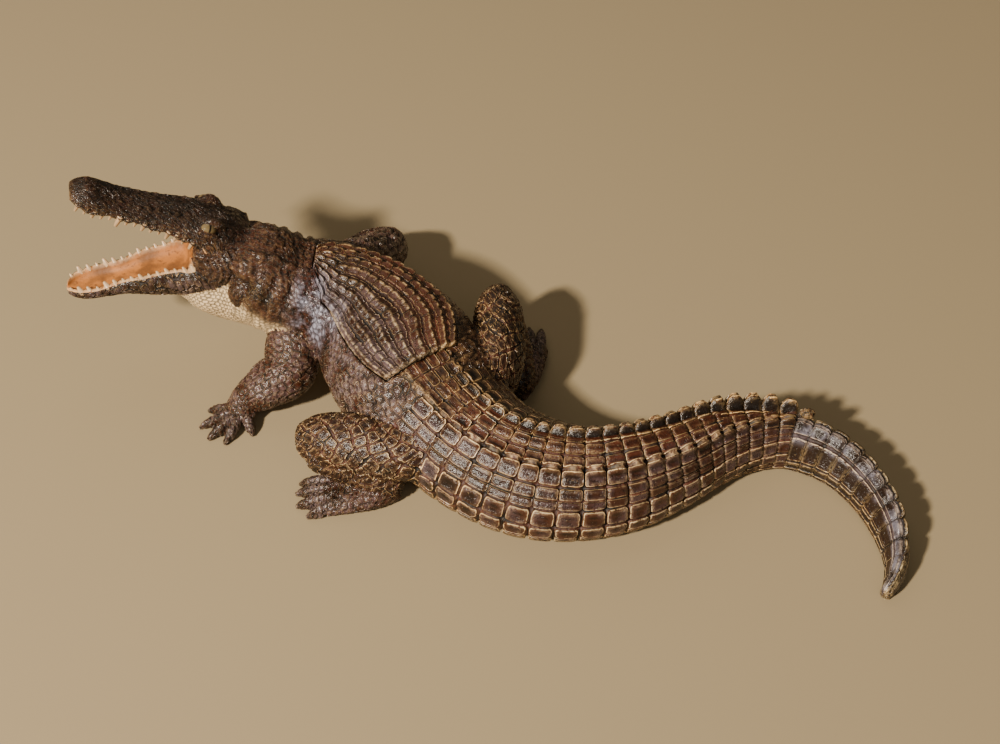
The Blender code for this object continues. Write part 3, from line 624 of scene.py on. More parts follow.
# Columns of the grid: belly, far flank, far crest, top, near crest, near flank, belly.
COLUMN_COUNTS = (10, 15, 3, 3, 7, 7, 3, 3, 27, 16)
COLUMNS = sum(COLUMN_COUNTS)
# Rows of plates down a flank, as shares from the crest to the belly, and at the end of the tail.
FLANK_SHARES = (0.0, 0.17, 0.29, 0.38, 0.6, 0.8, 1.0)
END_SHARES = (0.0, 0.3, 0.78, 1.0)
# Width of those rows: share down the flank, share of the flank.
ROW_WIDTHS = (
    (0.0, 0.17), (0.16, 0.17), (0.18, 0.12), (0.28, 0.12),
    (0.3, 0.09), (0.37, 0.09), (0.39, 0.21), (1.0, 0.21),
)
# Places along the spine: end of the folded neck, last nape lump, bare end of the tail.
NECK_END = 31.0
NAPE_END = 27.0
TAIL_END = 226.0
# Angle from the top at which the belly starts.
BELLY_ANGLE = 0.64 * math.pi
# Gold on the rims and the painted grey-blue sheen of the trunk, a painted reflection of light, by place along
# the spine.
NET_RIM = ((0.0, 0.5), (24.0, 0.55), (31.0, 0.35), (48.0, 0.35), (60.0, 0.6), (90.0, 0.85))
NET_PAINTED_SHEEN = ((22.0, 0.0), (29.0, 2.2), (46.0, 2.0), (56.0, 0.5), (80.0, 0.5), (104.0, 0.3), (130.0, 0.15))


def on_line(pairs, value):
    """Second value of the pairs, on straight lines between them."""
    places, levels = zip(*pairs)
    return np.interp(value, places, levels)


def spine_s(u):
    """Place along the spine of each share along the grid."""
    row = u * SPINE_ROWS
    tail = TRUNK_ROWS + TAIL_ROWS
    end = RING_START + RING_COUNT * RING_PITCH
    ring = (row - TRUNK_ROWS) / RING_ROWS
    # Rows draw together at the grooves.
    share = ring - np.floor(ring + 1e-6)
    bent = np.floor(ring + 1e-6) + share - 0.09 * np.sin(2.0 * math.pi * share) / 1.6
    s = np.where(row <= TRUNK_ROWS, row / TRUNK_ROWS * RING_START, RING_START + bent * RING_PITCH)
    return np.where(row > tail, end + (row - tail) / TIP_ROWS * (SPINE_MEMBER.length - end), s)


def crest_rows(s):
    """Side and height of the far and the near crest at s, kept clear of each other."""
    values = straight(CREST, s)
    far = np.minimum(values[..., 0], -0.75)
    near = np.maximum(values[..., 2], 0.75)
    return far, values[..., 1], near, values[..., 3]


def spine_angle(s, v):
    """Angle from the top of each share around the grid."""
    far, _, near, _ = crest_rows(s)
    foot_far = np.minimum(CREST_FOOT, 0.6 * np.abs(far))
    foot_near = np.minimum(CREST_FOOT, 0.6 * np.abs(near))
    stops = np.cumsum((0,) + COLUMN_COUNTS) / COLUMNS
    levels = (
        -math.pi + 0.0 * s,
        -0.5 * math.pi + 0.0 * s,
        side_angle(s, far - CREST_FOOT),
        side_angle(s, far),
        side_angle(s, far + foot_far),
        0.0 * s,
        side_angle(s, near - foot_near),
        side_angle(s, near),
        side_angle(s, near + CREST_FOOT),
        0.5 * math.pi + 0.0 * s,
        math.pi + 0.0 * s,
    )
    return spread(list(zip(stops, levels)), v)


def tooth_shape(s, start, pitch, power, skew=0.0):
    """Share of height of a row of rounded tabs at s, leaning back by the skew."""
    phase = (s - start) / pitch
    phase = phase - np.floor(phase)
    phase = phase ** (1.0 + skew)
    return np.clip(1.25 * np.sin(math.pi * phase), 0.0, 1.0) ** power


def down_side(angle, start, full, last, end):
    """Share that is 1 from full to last down the side and fades to start and end, in half turns."""
    angle = np.abs(angle)
    rising = smooth_step(start * math.pi, full * math.pi, angle)
    return rising * smooth_step(end * math.pi, last * math.pi, angle)


def spine_growth(s, angle):
    """Outward growth of the trunk: grooves of the whorls, folds and knots of the neck."""
    size = SPINE_MEMBER.frame(s)[3]
    taper = np.clip(size[:, 0] / 6.0, 0.3, 1.0)
    phase = (s - RING_START) / RING_PITCH
    phase = phase - np.floor(phase)
    in_rings = smooth_step(RING_START - 1.0, RING_START + 1.0, s)
    in_rings = in_rings * smooth_step(RING_END + 2.0, RING_END - 2.0, s)
    side_fade = smooth_step(0.86 * math.pi, 0.6 * math.pi, np.abs(angle))
    edge = np.minimum(phase, 1.0 - phase)
    groove = -np.exp(-((edge / 0.075) ** 2)) * sizes().groove / MM
    grow = (groove + 0.12) * taper * in_rings * side_fade
    # Folds of skin round the neck.
    phase = (s - 3.0) / NAPE_PITCH
    fold = np.exp(-(((phase - np.round(phase)) / 0.2) ** 2))
    on_side = down_side(angle, 0.12, 0.28, 0.6, 0.95)
    grow = grow - FOLD_DEPTH * fold * on_side * smooth_step(NECK_END, NAPE_END, s)
    knots = np.sin(s * 1.9 + 1.3 * np.sin(angle * 4.0)) * np.sin(angle * 11.0 + 1.1 * np.sin(s * 0.8))
    grow = grow + 0.42 * knots * smooth_step(40.0, 26.0, s) * smooth_step(2.5, 2.1, np.abs(angle))
    # The neck draws in behind the jowls, and its front end sinks into the skull.
    low_side = down_side(angle, 0.28, 0.4, 0.6, 0.8)
    grow = grow - NECK_STEP * low_side * smooth_step(NECK_FULL, 0.5 * NECK_FULL, s)
    return grow - 4.0 * smooth_step(2.5, 0.0, s)


def spine_place(u, v):
    """Points of the trunk with whorls, crests, nape lumps and folds of the neck."""
    s = spine_s(u)
    angle = spine_angle(s, v)
    size = SPINE_MEMBER.frame(s)[3]
    points, side, up = spine_point(s, angle, spine_growth(s, angle))
    far, far_height, near, near_height = crest_rows(s)
    across = np.sign(np.sin(angle)) * np.abs(size[:, 0] * rounded(np.sin(angle), size[:, 3]))
    top = np.cos(angle) > 0.0
    lift = 0.0
    shift = 0.0
    # The far crest has blunt tabs, the near one sharper and lower ones.
    for centre, height, sign, blunt, round_off in (
        (far, far_height, -1.0, 0.42, 0.75),
        (near, near_height, 1.0, 1.1, 1.0),
    ):
        reach = np.clip(1.0 - np.abs(across - centre) / CREST_FOOT, 0.0, 1.0) * top
        nape = tooth_shape(s, 3.0, NAPE_PITCH, 0.8) * smooth_step(NECK_END, NAPE_END, s)
        tabs = 0.1 + 0.9 * tooth_shape(s, RING_START, RING_PITCH, blunt, 0.35)
        rise = height * np.where(s < 60.0, nape, tabs) * reach ** round_off
        lift = np.maximum(lift, rise)
        shift = shift + 0.35 * sign * rise
    return points + lift[:, None] * up + shift[:, None] * side


def rows_between(s_face, far, near):
    """Number of rows of plates between the crests at each place."""
    count = np.where(s_face < 112.0, 4.0, np.where(s_face < 200.0, 3.0, 2.0))
    return np.where(near - far < 4.2, 1.0, count)


def spine_dress(u, v, face_u, face_v):
    """Cells, paint and slots of the trunk and the tail."""
    s, s_face = spine_s(u), spine_s(face_u)
    angle, angle_face = spine_angle(s, v), spine_angle(s_face, face_v)
    far, _, near, _ = crest_rows(s)
    size = SPINE_MEMBER.frame(s)[3]
    across = size[:, 0] * rounded(np.sin(angle), size[:, 3])
    far_face, _, near_face, _ = crest_rows(s_face)
    size_face = SPINE_MEMBER.frame(s_face)[3]
    across_face = size_face[:, 0] * rounded(np.sin(angle_face), size_face[:, 3])
    upper = np.cos(angle_face) > 0.0
    top = upper & (across_face > far_face) & (across_face < near_face)
    belly = np.abs(angle_face) > BELLY_ANGLE
    at_end = s_face > TAIL_END
    # Rows over the top, down each flank and under the belly, counted from 0, 10 and 20.
    count = rows_between(s_face, far_face, near_face)
    v_top = np.clip((across - far) / (near - far), 0.0, 1.0) * count
    crest_angle = np.where(angle_face > 0.0, side_angle(s, near), -side_angle(s, far))
    down = (np.abs(angle) - crest_angle) / (BELLY_ANGLE - crest_angle)
    share = np.clip(down, 0.0, 1.0)
    v_flank = 10.0 + np.interp(share, FLANK_SHARES, range(len(FLANK_SHARES)))
    end_flank = 10.0 + np.interp(share, END_SHARES, range(len(END_SHARES)))
    v_flank = np.where(at_end, end_flank, v_flank)
    v_belly = 20.0 + 4.0 * np.clip((np.abs(angle) - BELLY_ANGLE) / (math.pi - BELLY_ANGLE), 0.0, 1.0)
    v_ring = np.where(top, v_top, np.where(belly, v_belly, v_flank))
    v_ring = np.where((angle_face < 0.0) & ~top, v_ring + 30.0, v_ring)
    u_ring = (s - RING_START) / RING_PITCH
    flank_long = 0.5 * (size_face[:, 0] + size_face[:, 1]) * 1.15
    down_face = (np.abs(angle_face) - crest_angle) / (BELLY_ANGLE - crest_angle)
    row_wide = on_line(ROW_WIDTHS, np.clip(down_face, 0, 1))
    b_ring = np.where(top, (near_face - far_face) / count, np.where(belly, 3.4, flank_long * row_wide))
    # Fine net on the neck and on the flanks of the trunk.
    on_neck = s_face < NECK_END
    net = np.where(on_neck, 1.7, 2.6)
    u_net = s / net + 0.4 * np.sin(angle * 5.0 + s * 0.21)
    v_net = angle * np.where(on_neck, 10.0, 7.4) + 0.35 * np.sin(s * 0.63)
    near_edge = np.where(angle_face > 0.0, side_angle(s_face, near_face), -side_angle(s_face, far_face))
    behind_plate = (s_face > RING_START - 11.0) & (np.abs(angle_face) < near_edge) & upper
    ring_zone = (s_face > RING_START) | behind_plate
    cells = np.stack((np.where(ring_zone, u_ring, u_net), np.where(ring_zone, v_ring, v_net)), axis=1)
    span = np.stack((np.where(ring_zone, RING_PITCH, net), np.where(ring_zone, b_ring, net)), axis=1)
    rim = np.where(ring_zone, 1.1, on_line(NET_RIM, s))
    rust = np.where(ring_zone, np.where(top, 1.0, 0.85), 0.55)
    rust = np.where(at_end, 0.3, rust)
    neck_pale = smooth_step(0.52 * math.pi, 0.6 * math.pi, np.abs(angle))
    belly_pale = 0.5 * smooth_step(0.72 * math.pi, 0.9 * math.pi, np.abs(angle))
    pale = np.where(s_face < NAPE_END, neck_pale, np.where(s_face < RING_START, belly_pale, 0.0))
    dark = np.where(ring_zone, np.where(top, 0.4, 0.62), 0.3)
    dark = np.where(at_end, 0.85, dark)
    far_fin = upper & (np.abs(across_face - far_face) < 1.5) & (s_face > RING_START) & (across_face < 0.0)
    dark = np.where(far_fin, 0.95, dark)
    # Painted sheen: a painted reflection of light on the upper near flank and on the upper near rows of the
    # tail end.
    lit = smooth_step(0.2, 0.6, angle) * smooth_step(2.0, 1.3, angle)
    painted_sheen = lit * on_line(NET_PAINTED_SHEEN, s)
    painted_sheen = np.where(at_end, smooth_step(0.5, 0.3, share) * (angle_face > 0.0) * 0.9, painted_sheen)
    paint = columns(s, rim, rust, pale, dark, painted_sheen, 0.0)
    # Gold brushed along the tops of the crests, the ridge beside the plate and the tail tip.
    tabs = tooth_shape(s, RING_START, RING_PITCH, 0.6, 0.35)
    upper_s = (np.cos(angle) > 0.0) & (s > RING_START - 8.0)
    by_far = smooth_step(0.7, 0.1, np.abs(across - far))
    gap_near = np.abs(across - near)
    brush = by_far * (0.35 + 0.65 * tabs) * upper_s
    brush = np.maximum(brush, 0.6 * smooth_step(0.7, 0.1, gap_near) * tabs * upper_s)
    ridge = (np.abs(s - 96.0) < 9.0) & (np.cos(angle) > 0.0)
    brush = np.maximum(brush, 0.8 * smooth_step(1.6, 0.3, gap_near) * ridge)
    brush = np.maximum(brush, 0.8 * smooth_step(SPINE_MEMBER.length - 3.0, SPINE_MEMBER.length - 0.5, s))
    form = np.stack((np.where(ring_zone, 0.0, 0.5), brush), axis=1)
    return cells, span, paint, form, np.full_like(u, HIDE)


# Limbs, digits and the lumps.

# A limb's grid runs past its last station by this share, to close its rounded end.
CAP_SHARE = 0.12
CLAW_CELL = 1.75


def limb(name, stations, step, cell, diagonal, paint, member):
    """A round limb through its stations with a net of scales."""
    path = Member(stations)
    girth = 2.0 * math.pi * max(0.5 * (row[3] + row[4]) for row in stations)
    along = max(6, int(round((path.length + 6.0) / step)))
    around = max(10, int(round(girth / step)))
    turns = max(4, int(round(girth / (cell if diagonal else 1.35 * cell))))
    end, before = (path.frame([path.length - back])[0][0] for back in (0.0, 1.0))
    ahead = end - before
    ahead /= np.linalg.norm(ahead)

    def place(u, v):
        reach = u * (1.0 + CAP_SHARE)
        s = np.minimum(reach, 1.0) * path.length
        beyond = np.clip((reach - 1.0) / CAP_SHARE, 0.0, 1.0)
        centre, side, up, size = path.frame(s)
        centre = centre + (0.32 * size[:, 1] * np.sin(beyond * 0.5 * math.pi))[:, None] * ahead
        shrink = np.cos(beyond * 0.5 * math.pi) ** 0.7
        turn = (v - 0.25) * 2.0 * math.pi
        bulge = 1.0 + 0.02 * np.sin(3.0 * turn + s * 0.35)
        across = size[:, 0] * np.cos(turn) * shrink * bulge
        high = size[:, 1] * np.sin(turn) * shrink * bulge
        return centre + across[:, None] * side + high[:, None] * up

    def dress(u, v, face_u, face_v):
        a = u * path.length * (1.0 + CAP_SHARE) / cell
        a = a + 0.22 * np.sin(2.0 * math.pi * v * 5.0 + a * 0.7)
        b = v * turns + 0.18 * np.sin(a * 1.3)
        claw = smooth_step(0.78, 0.9, u) * (cell < CLAW_CELL) * 0.35
        if diagonal:
            wide = cell / math.sqrt(2.0)
            cells, span, stagger = np.stack((a + b, a - b), axis=1), (wide, wide), 0.0
        else:
            cells, span, stagger = np.stack((a, b), axis=1), (cell, 1.35 * cell), 0.5
        form = columns(u, stagger, claw)
        return cells, columns(u, *span), columns(u, *paint), form, np.full_like(u, HIDE)

    return skin(name, along, around, place, dress, member)


def digit(name, row):
    """A finger or toe: a ridge over the foot, a rounded toe and a pointed claw."""
    x, y, tip_x, tip_y, half = row
    back = TOE_RIDGE / math.hypot(tip_x - x, tip_y - y)
    stations = [
        (x + share * (tip_x - x), y + share * (tip_y - y), z, wide * half, high * half)
        for share, z, wide, high in (
            (-back, 4.0, 0.75, 1.25), (0.0, 3.4, 0.92, 1.35), (0.6, 1.9, 0.88, 1.2),
            (0.86, 1.3, 0.5, 0.75), (1.0, 0.8, 0.2, 0.3),
        )
    ]
    return limb(name, stations, 0.72, 1.7, False, DIGIT_PAINT, CRISP)


def lump(name, centre, radii, axes, paint, finer=3, cell=1.6, arcs=None, slot=HIDE, member=CRISP):
    """A rounded lump with its own axes.

    arcs is the middle of its arched folds, ahead and up from its centre, if it has any."""
    bm = bmesh.new()
    for layer in LAYERS:
        bm.loops.layers.uv.new(layer)
    bmesh.ops.create_icosphere(bm, subdivisions=finer, radius=1.0)
    mesh = settle(bm, bpy.data.meshes.new(name))
    ball = read(mesh.vertices, "co", 3).astype(float)
    local = ball * np.array(radii)
    corner = read(mesh.loops, "vertex_index", kind=np.int32)
    swell = 1.0
    cells = local[:, :2] / cell + LUMP_MIDDLE
    if arcs is not None:
        reach = np.hypot(local[:, 0] - arcs[0], local[:, 2] - arcs[1])
        turn = np.arctan2(local[:, 2] - arcs[1], local[:, 0] - arcs[0])
        swell = (1.0 + 0.065 * np.sin(reach * math.pi) * smooth_step(14.0, 10.0, reach))[:, None]
        cells = np.stack((turn * 6.0 + 50.0, reach / cell), axis=1)
    points = np.array(centre) + sum(local[:, k:k + 1] * axes[k] for k in range(3)) * swell
    write_points(mesh, shifted(points) * MM)
    write_uv(mesh, "cells", cells[corner])
    for layer, pair in (
        ("span", (cell * SPAN_UNIT,) * 2), ("form", (0.5, 0.0)), ("wear", paint[:2]), ("tone", paint[2:]),
    ):
        write_uv(mesh, layer, np.tile(pair, (len(corner), 1)))
    mark(mesh, slot, member)
    return weld(name, mesh)


# Head.

# Shares of the turn round a jaw that are its outer skin, the rest being palate or mouth.
UPPER_SKIN = 0.76
LOWER_SKIN = 0.66


def jaw_axes(pitch):
    """Forward, near-side and upward directions of a jaw."""
    yaw, tilt = math.radians(HEAD_YAW), math.radians(pitch)
    forward = np.array((-math.cos(yaw) * math.cos(tilt), -math.sin(yaw) * math.cos(tilt), math.sin(tilt)))
    side = np.cross((0.0, 0.0, 1.0), forward)
    side /= np.linalg.norm(side)
    return forward, side, np.cross(forward, side)


def jaw_point(pitch, ahead, across, high):
    """Points of the head from distances in the frame of a jaw."""
    spot = np.array(JAW_JOINT)
    for reach, axis in zip((ahead, across, high), jaw_axes(pitch)):
        spot = spot + np.multiply.outer(np.asarray(reach, float), axis)
    return spot


def jaw_rows(table, u):
    """Distance ahead at each share of a jaw's table and the smooth values there."""
    rows = np.array(table, float)
    ahead = rows[0, 0] + u * (rows[-1, 0] - rows[0, 0])
    return (ahead, *through(rows[:, 0], rows[:, 1:], ahead).T)


def upper_place(u, v):
    """Skull and snout: outer skin for the first three quarters round, then the palate."""
    ahead, half, lip, top, power = jaw_rows(UPPER_JAW, u)
    turn = np.clip(v / UPPER_SKIN, 0.0, 1.0) * math.pi
    inner = np.clip((v - UPPER_SKIN) / (1.0 - UPPER_SKIN), 0.0, 1.0)
    sine = np.sin(turn)
    across = half * rounded(np.cos(turn), power)
    high = lip + (top - lip) * rounded(sine, power)
    # Festooned lip over the teeth, bony ridges on the snout and a flat skull table.
    scallop = 0.45 * np.sin(ahead * 2.0 * math.pi / 9.5) * smooth_step(12.0, 18.0, ahead)
    high = high + scallop * smooth_step(0.35, 0.0, sine)
    table = smooth_step(16.0, 8.0, ahead) * smooth_step(0.75, 0.95, sine)
    high = high - 0.7 * table * np.cos(turn * 2.0 + math.pi) * 0.5
    ridge = np.exp(-(((np.abs(across) - 0.55 * half) / 0.9) ** 2)) * (sine > 0.5)
    beads = 0.6 + 0.4 * np.sin(ahead * 2.0 * math.pi / 3.1)
    high = high + 0.7 * beads * ridge * smooth_step(10.0, 16.0, ahead) * smooth_step(46.0, 34.0, ahead)
    # Sockets of the teeth swell over the lip, and knots cover the rest of the skin.
    swell = 0.3 * np.cos((ahead - UPPER_TEETH[0]) * 2.0 * math.pi / TOOTH_PITCH)
    swell = swell * smooth_step(8.0, 14.0, ahead)
    across = across + np.sign(across) * swell * smooth_step(0.6, 0.2, sine)
    knots = np.sin(ahead * 2.1 + 1.5 * np.sin(turn * 5.0)) * np.sin(turn * 13.0 + 1.2 * np.sin(ahead * 0.7))
    high = high + 0.22 * knots * smooth_step(0.3, 0.6, sine)
    # Lip, palate and the other lip.
    inside = np.maximum(half - LIP, 0.4 * half)
    rise = np.minimum(PALATE_RISE, 0.4 * (top - lip)) * (ahead > 8.0)
    lip_half = half + swell
    spot = inside * (inner - 0.5) / 0.38
    spot = np.where(inner < 0.12, -lip_half + (lip_half - inside) * inner / 0.12, spot)
    spot = np.where(inner > 0.88, inside + (lip_half - inside) * (inner - 0.88) / 0.12, spot)
    dome = np.clip(1.0 - (np.abs(inner - 0.5) / 0.38) ** 4, 0.0, 1.0)
    in_palate = v > UPPER_SKIN
    across = np.where(in_palate, spot, across)
    high = np.where(in_palate, lip + rise * dome + scallop, high)
    return jaw_point(UPPER_PITCH, ahead, across, high)


def jaw_dress(table, u, v, cell, skin_share, turns, sway, inside, paint):
    """Cells, paint and slots of a jaw whose faces inside the mouth are lined."""
    cells = np.stack((jaw_rows(table, u)[0] / cell, np.clip(v, 0, skin_share) * turns), axis=1)
    cells = cells + sway * np.stack((np.sin(cells[:, 1] * 1.7), np.sin(cells[:, 0] * 1.3)), axis=1)
    slot = np.where(inside, LINING, HIDE)
    return cells, columns(u, cell, cell), columns(u, *paint), columns(u, 0.5, 0.0), slot


def gum_share(v, skin_share, full, none):
    """Share of pale gum along both rims of the mouth."""
    inner = np.clip((v - skin_share) / (1.0 - skin_share), 0.0, 1.0)
    return smooth_step(none, full, np.minimum(inner, 1.0 - inner))


def upper_dress(u, v, face_u, face_v):
    """Cells and paint of the skull and the snout."""
    lip_near = smooth_step(0.18, 0.04, face_v) + smooth_step(0.58, 0.72, face_v)
    inside = face_v > 0.785
    pale = np.where(inside, gum_share(v, UPPER_SKIN, 0.1, 0.2), 0.0)
    paint = (0.22 + 0.5 * lip_near, 0.3, pale, 0.8 - 0.35 * lip_near)
    return jaw_dress(UPPER_JAW, u, v, 1.9, UPPER_SKIN, 17.0, 0.55, inside, paint)


def lower_place(u, v):
    """Lower jaw: wall outside for the first two thirds round, then the trough of the mouth."""
    ahead, rim, level, wall, under = jaw_rows(LOWER_JAW, u)
    out = np.clip(v / LOWER_SKIN, 0.0, 1.0)
    inner = np.clip((v - LOWER_SKIN) / (1.0 - LOWER_SKIN), 0.0, 1.0)
    middle = level + 0.3 * (under - level)
    turn = np.clip((out - 0.07) / 0.86, 0.0, 1.0) * math.pi
    across = wall * rounded(np.cos(turn), 2.6)
    high = middle + (under - middle) * rounded(np.sin(turn), 2.4)
    edge = np.where(out < 0.07, 1.0 - out / 0.07, np.where(out > 0.93, (out - 0.93) / 0.07, 0.0))
    sign = np.where(out < 0.5, 1.0, -1.0)
    across = np.where(edge > 0.0, sign * (wall + (rim - wall) * edge), across)
    high = np.where(edge > 0.0, middle + (level - middle) * edge, high)
    # Across the mouth: 0 to 1 is the far rim, 1 to 2 the floor and 2 to 3 the near rim.
    inside = np.maximum(rim - LIP, 0.4 * rim)
    floor = np.maximum(level - MOUTH_FLOOR, 0.5 * (level + under))
    spot = np.interp(inner, (0.0, 0.13, 0.87, 1.0), (0.0, 1.0, 2.0, 3.0))
    far_rim = -rim + (rim - inside) * spot
    near_rim = inside + (rim - inside) * (spot - 2.0)
    bed = inside * (2.0 * (spot - 1.0) - 1.0)
    trough = np.where(spot < 1.0, far_rim, np.where(spot > 2.0, near_rim, bed))
    depth = np.clip(1.0 - np.abs(2.0 * (spot - 1.0) - 1.0) ** 5, 0.0, 1.0)
    gum = 0.35 * np.sin(math.pi * np.clip(np.where(spot < 1.0, spot, 3.0 - spot), 0.0, 1.0))
    on_rim = (spot < 1.0) | (spot > 2.0)
    in_mouth = v > LOWER_SKIN
    across = np.where(in_mouth, trough, across)
    high = np.where(in_mouth, np.where(on_rim, level + gum, level + (floor - level) * depth), high)
    return jaw_point(LOWER_PITCH, ahead, across, high)


def lower_dress(u, v, face_u, face_v):
    """Cells and paint of the lower jaw."""
    bottom = smooth_step(0.12, 0.26, face_v) * smooth_step(0.54, 0.40, face_v)
    inside = face_v > 0.665
    pale = np.where(inside, gum_share(v, LOWER_SKIN, 0.09, 0.14), 0.5 * bottom)
    # The fifth share is a painted sheen, a painted reflection of light.
    paint = (0.62, 0.3, pale, 0.5, 0.25, 0.0)
    return jaw_dress(LOWER_JAW, u, v, 2.2, LOWER_SKIN, 12.0, 0.3, inside, paint)


def cheek_place(u, v):
    """Skin and muscle between the jaws behind the corner of the mouth."""
    ahead, half, top, under = jaw_rows(CHEEK, u)
    turn = v * 2.0 * math.pi
    across = half * rounded(np.cos(turn), 2.4)
    high = np.where(np.sin(turn) > 0.0, top, -under) * rounded(np.sin(turn), 2.2)
    # Arched folds of the jowl.
    reach = np.sqrt((ahead - 12.0) ** 2 + (high + 1.0) ** 2)
    fold = 0.22 * np.sin(reach * 2.0 * math.pi / 1.7) * smooth_step(4.0, 6.0, reach)
    across = across * (1.0 + fold / np.maximum(half, 1.0) * 1.2)
    return jaw_point(MOUTH_PITCH, ahead, across, high)


def cheek_dress(u, v, face_u, face_v):
    """Cells and paint of the cheeks."""
    cells = np.stack((jaw_rows(CHEEK, u)[0] / 1.6, v * 40.0), axis=1)
    before = (face_u > 0.9) & (np.abs(np.cos(face_v * 2.0 * math.pi)) < 0.75)
    slot = np.where((face_u > 0.985) | before, LINING, HIDE)
    return cells, columns(u, 1.6, 1.6), columns(u, 0.45, 0.4, 0.0, 0.45), columns(u, 0.5, 0.0), slot


def tooth(pitch, table, ahead, sign, inset, root, lean, length, radius):
    """A tooth of a jaw: a cone from its foot in the gum to its blunt point."""
    rows = np.array(table)
    across = sign * (np.interp(ahead, rows[:, 0], rows[:, 1]) - inset)
    rim = np.interp(ahead, rows[:, 0], rows[:, 2])
    foot = jaw_point(pitch, ahead, across, rim + root)
    tip = jaw_point(pitch, ahead + 0.3, across + lean * sign, rim + length)
    bm = bmesh.new()
    for layer in LAYERS:
        bm.loops.layers.uv.new(layer)
    axis = Vector(shifted(tip) - shifted(foot)) * MM
    bmesh.ops.create_cone(
        bm, cap_ends=True, segments=8, radius1=radius * MM, radius2=0.45 * radius * MM, depth=axis.length)
    turn = axis.to_track_quat("Z", "Y").to_matrix().to_4x4()
    bmesh.ops.transform(bm, matrix=turn, verts=bm.verts)
    bmesh.ops.translate(bm, vec=Vector(shifted(foot)) * MM + axis * 0.5, verts=bm.verts)
    bmesh.ops.triangulate(bm, faces=bm.faces)
    mesh = settle(bm, bpy.data.meshes.new("tooth"))
    mark(mesh, IVORY, CRISP)
    return weld("tooth", mesh)


def teeth():
    """Both rows of teeth of both jaws."""
    made = []
    plain = sizes().tooth / MM
    for k in range(TOOTH_COUNT):
        share = k / (TOOTH_COUNT - 1)
        over = UPPER_TEETH[0] + UPPER_TEETH[1] * share
        under = LOWER_TEETH[0] + LOWER_TEETH[1] * share
        fang = 1.75 if k == TOOTH_COUNT - 6 else 1.15 - 0.35 * ((k * 5) % 3) / 2.0
        low_fang = 1.3 if k in (TOOTH_COUNT - 2, TOOTH_COUNT - 5) else 1.05 - 0.3 * ((k * 7) % 3) / 2.0
        for sign in (1.0, -1.0):
            thick, low_thick = 0.9 * min(fang, 1.4), 0.86 * min(low_fang, 1.25)
            length, low_length = -1.05 * fang * plain, low_fang * plain
            made.append(tooth(UPPER_PITCH, UPPER_JAW, over, sign, 0.9, 1.0, 0.3, length, thick))
            made.append(tooth(LOWER_PITCH, LOWER_JAW, under, sign, 0.8, -0.8, 0.25, low_length, low_thick))
    return made


# Joining, soft seams and relief.


def combine(target, others, operation):
    """Combine the target with all the others in one step."""
    group = bpy.data.collections.new("operands")
    for other in others:
        group.objects.link(other)
    modifier = target.modifiers.new("combine", "BOOLEAN")
    modifier.operation = operation
    modifier.operand_type = "COLLECTION"
    modifier.collection = group
    modifier.solver = "MANIFOLD"
    modifier.material_mode = "TRANSFER"
    graph = bpy.context.evaluated_depsgraph_get()
    graph.update()
    mesh = bpy.data.meshes.new_from_object(target.evaluated_get(graph))
    if len(mesh.polygons) == len(target.data.polygons):
        raise RuntimeError(f"the {operation.lower()} of {target.name} changed nothing")
    target.modifiers.clear()
    target.data = mesh
    for other in others:
        bpy.data.objects.remove(other)
    bpy.data.collections.remove(group)


def arrays(mesh):
    """Points, edges and corner-to-vertex table of a mesh."""
    return (
        read(mesh.vertices, "co", 3).astype(float),
        read(mesh.edges, "vertices", 2, np.int32),
        read(mesh.loops, "vertex_index", kind=np.int32),
    )


def of_corners(mesh, values):
    """The values of the faces, repeated for each of their corners."""
    return np.repeat(values, read(mesh.polygons, "loop_total", kind=np.int32))


def neighbours_mean(points, edges):
    """Mean of the neighbours of every point."""
    count = np.maximum(np.bincount(edges.ravel(), minlength=len(points)), 1).astype(float)
    total = np.zeros_like(points)
    for k in range(3):
        total[:, k] = np.bincount(edges[:, 0], points[edges[:, 1], k], len(points))
        total[:, k] += np.bincount(edges[:, 1], points[edges[:, 0], k], len(points))
    return total / count[:, None]


def soften(thing, reach, rounds):
    """Smooth the seams between the large members within the reach."""
    mesh = thing.data
    points, edges, corner = arrays(mesh)
    member = of_corners(mesh, read(mesh.attributes["member"].data, "value", kind=np.int32))
    low = np.full(len(points), 1000, np.int32)
    high = np.full(len(points), -1, np.int32)
    np.minimum.at(low, corner, member)
    np.maximum.at(high, corner, member)
    seam = np.flatnonzero((low != high) & (high < CRISP))
    if not len(seam):
        return
    tree = kdtree.KDTree(len(seam))
    for slot, index in enumerate(seam):
        tree.insert(points[index], slot)
    tree.balance()
    away = np.array([tree.find(point)[2] for point in points])
    weight = smooth_step(reach, 0.35 * reach, away) * 0.62
    weight[high >= CRISP] = 0.0
    weight[points[:, 2] < 1e-7] = 0.0
    for _ in range(rounds):
        points += (neighbours_mean(points, edges) - points) * weight[:, None]
    write_points(mesh, points)
    mesh.update()


def cell_profile(cells, span, form):
    """Height share of the scales at their cell coordinates: groove, rim and pitted middle."""
    row = np.floor(cells[:, 1])
    across = cells[:, 0] + form[:, 0] * (row % 2.0)
    share = np.stack((across - np.floor(across), cells[:, 1] - row), axis=1)
    reach = np.minimum(share, 1.0 - share) * span
    small = np.minimum(span[:, 0], span[:, 1])
    soft = CORNER * small
    overlap = np.maximum(soft - np.abs(reach[:, 0] - reach[:, 1]), 0.0) / soft
    edge = np.minimum(reach[:, 0], reach[:, 1]) - overlap * overlap * soft * 0.25
    edge = edge / (0.5 * small)
    groove = smooth_step(0.28, 0.0, edge)
    rim = smooth_step(0.08, 0.28, edge) * smooth_step(0.7, 0.36, edge)
    return rim + 0.3 * smooth_step(0.3, 0.6, edge) - groove


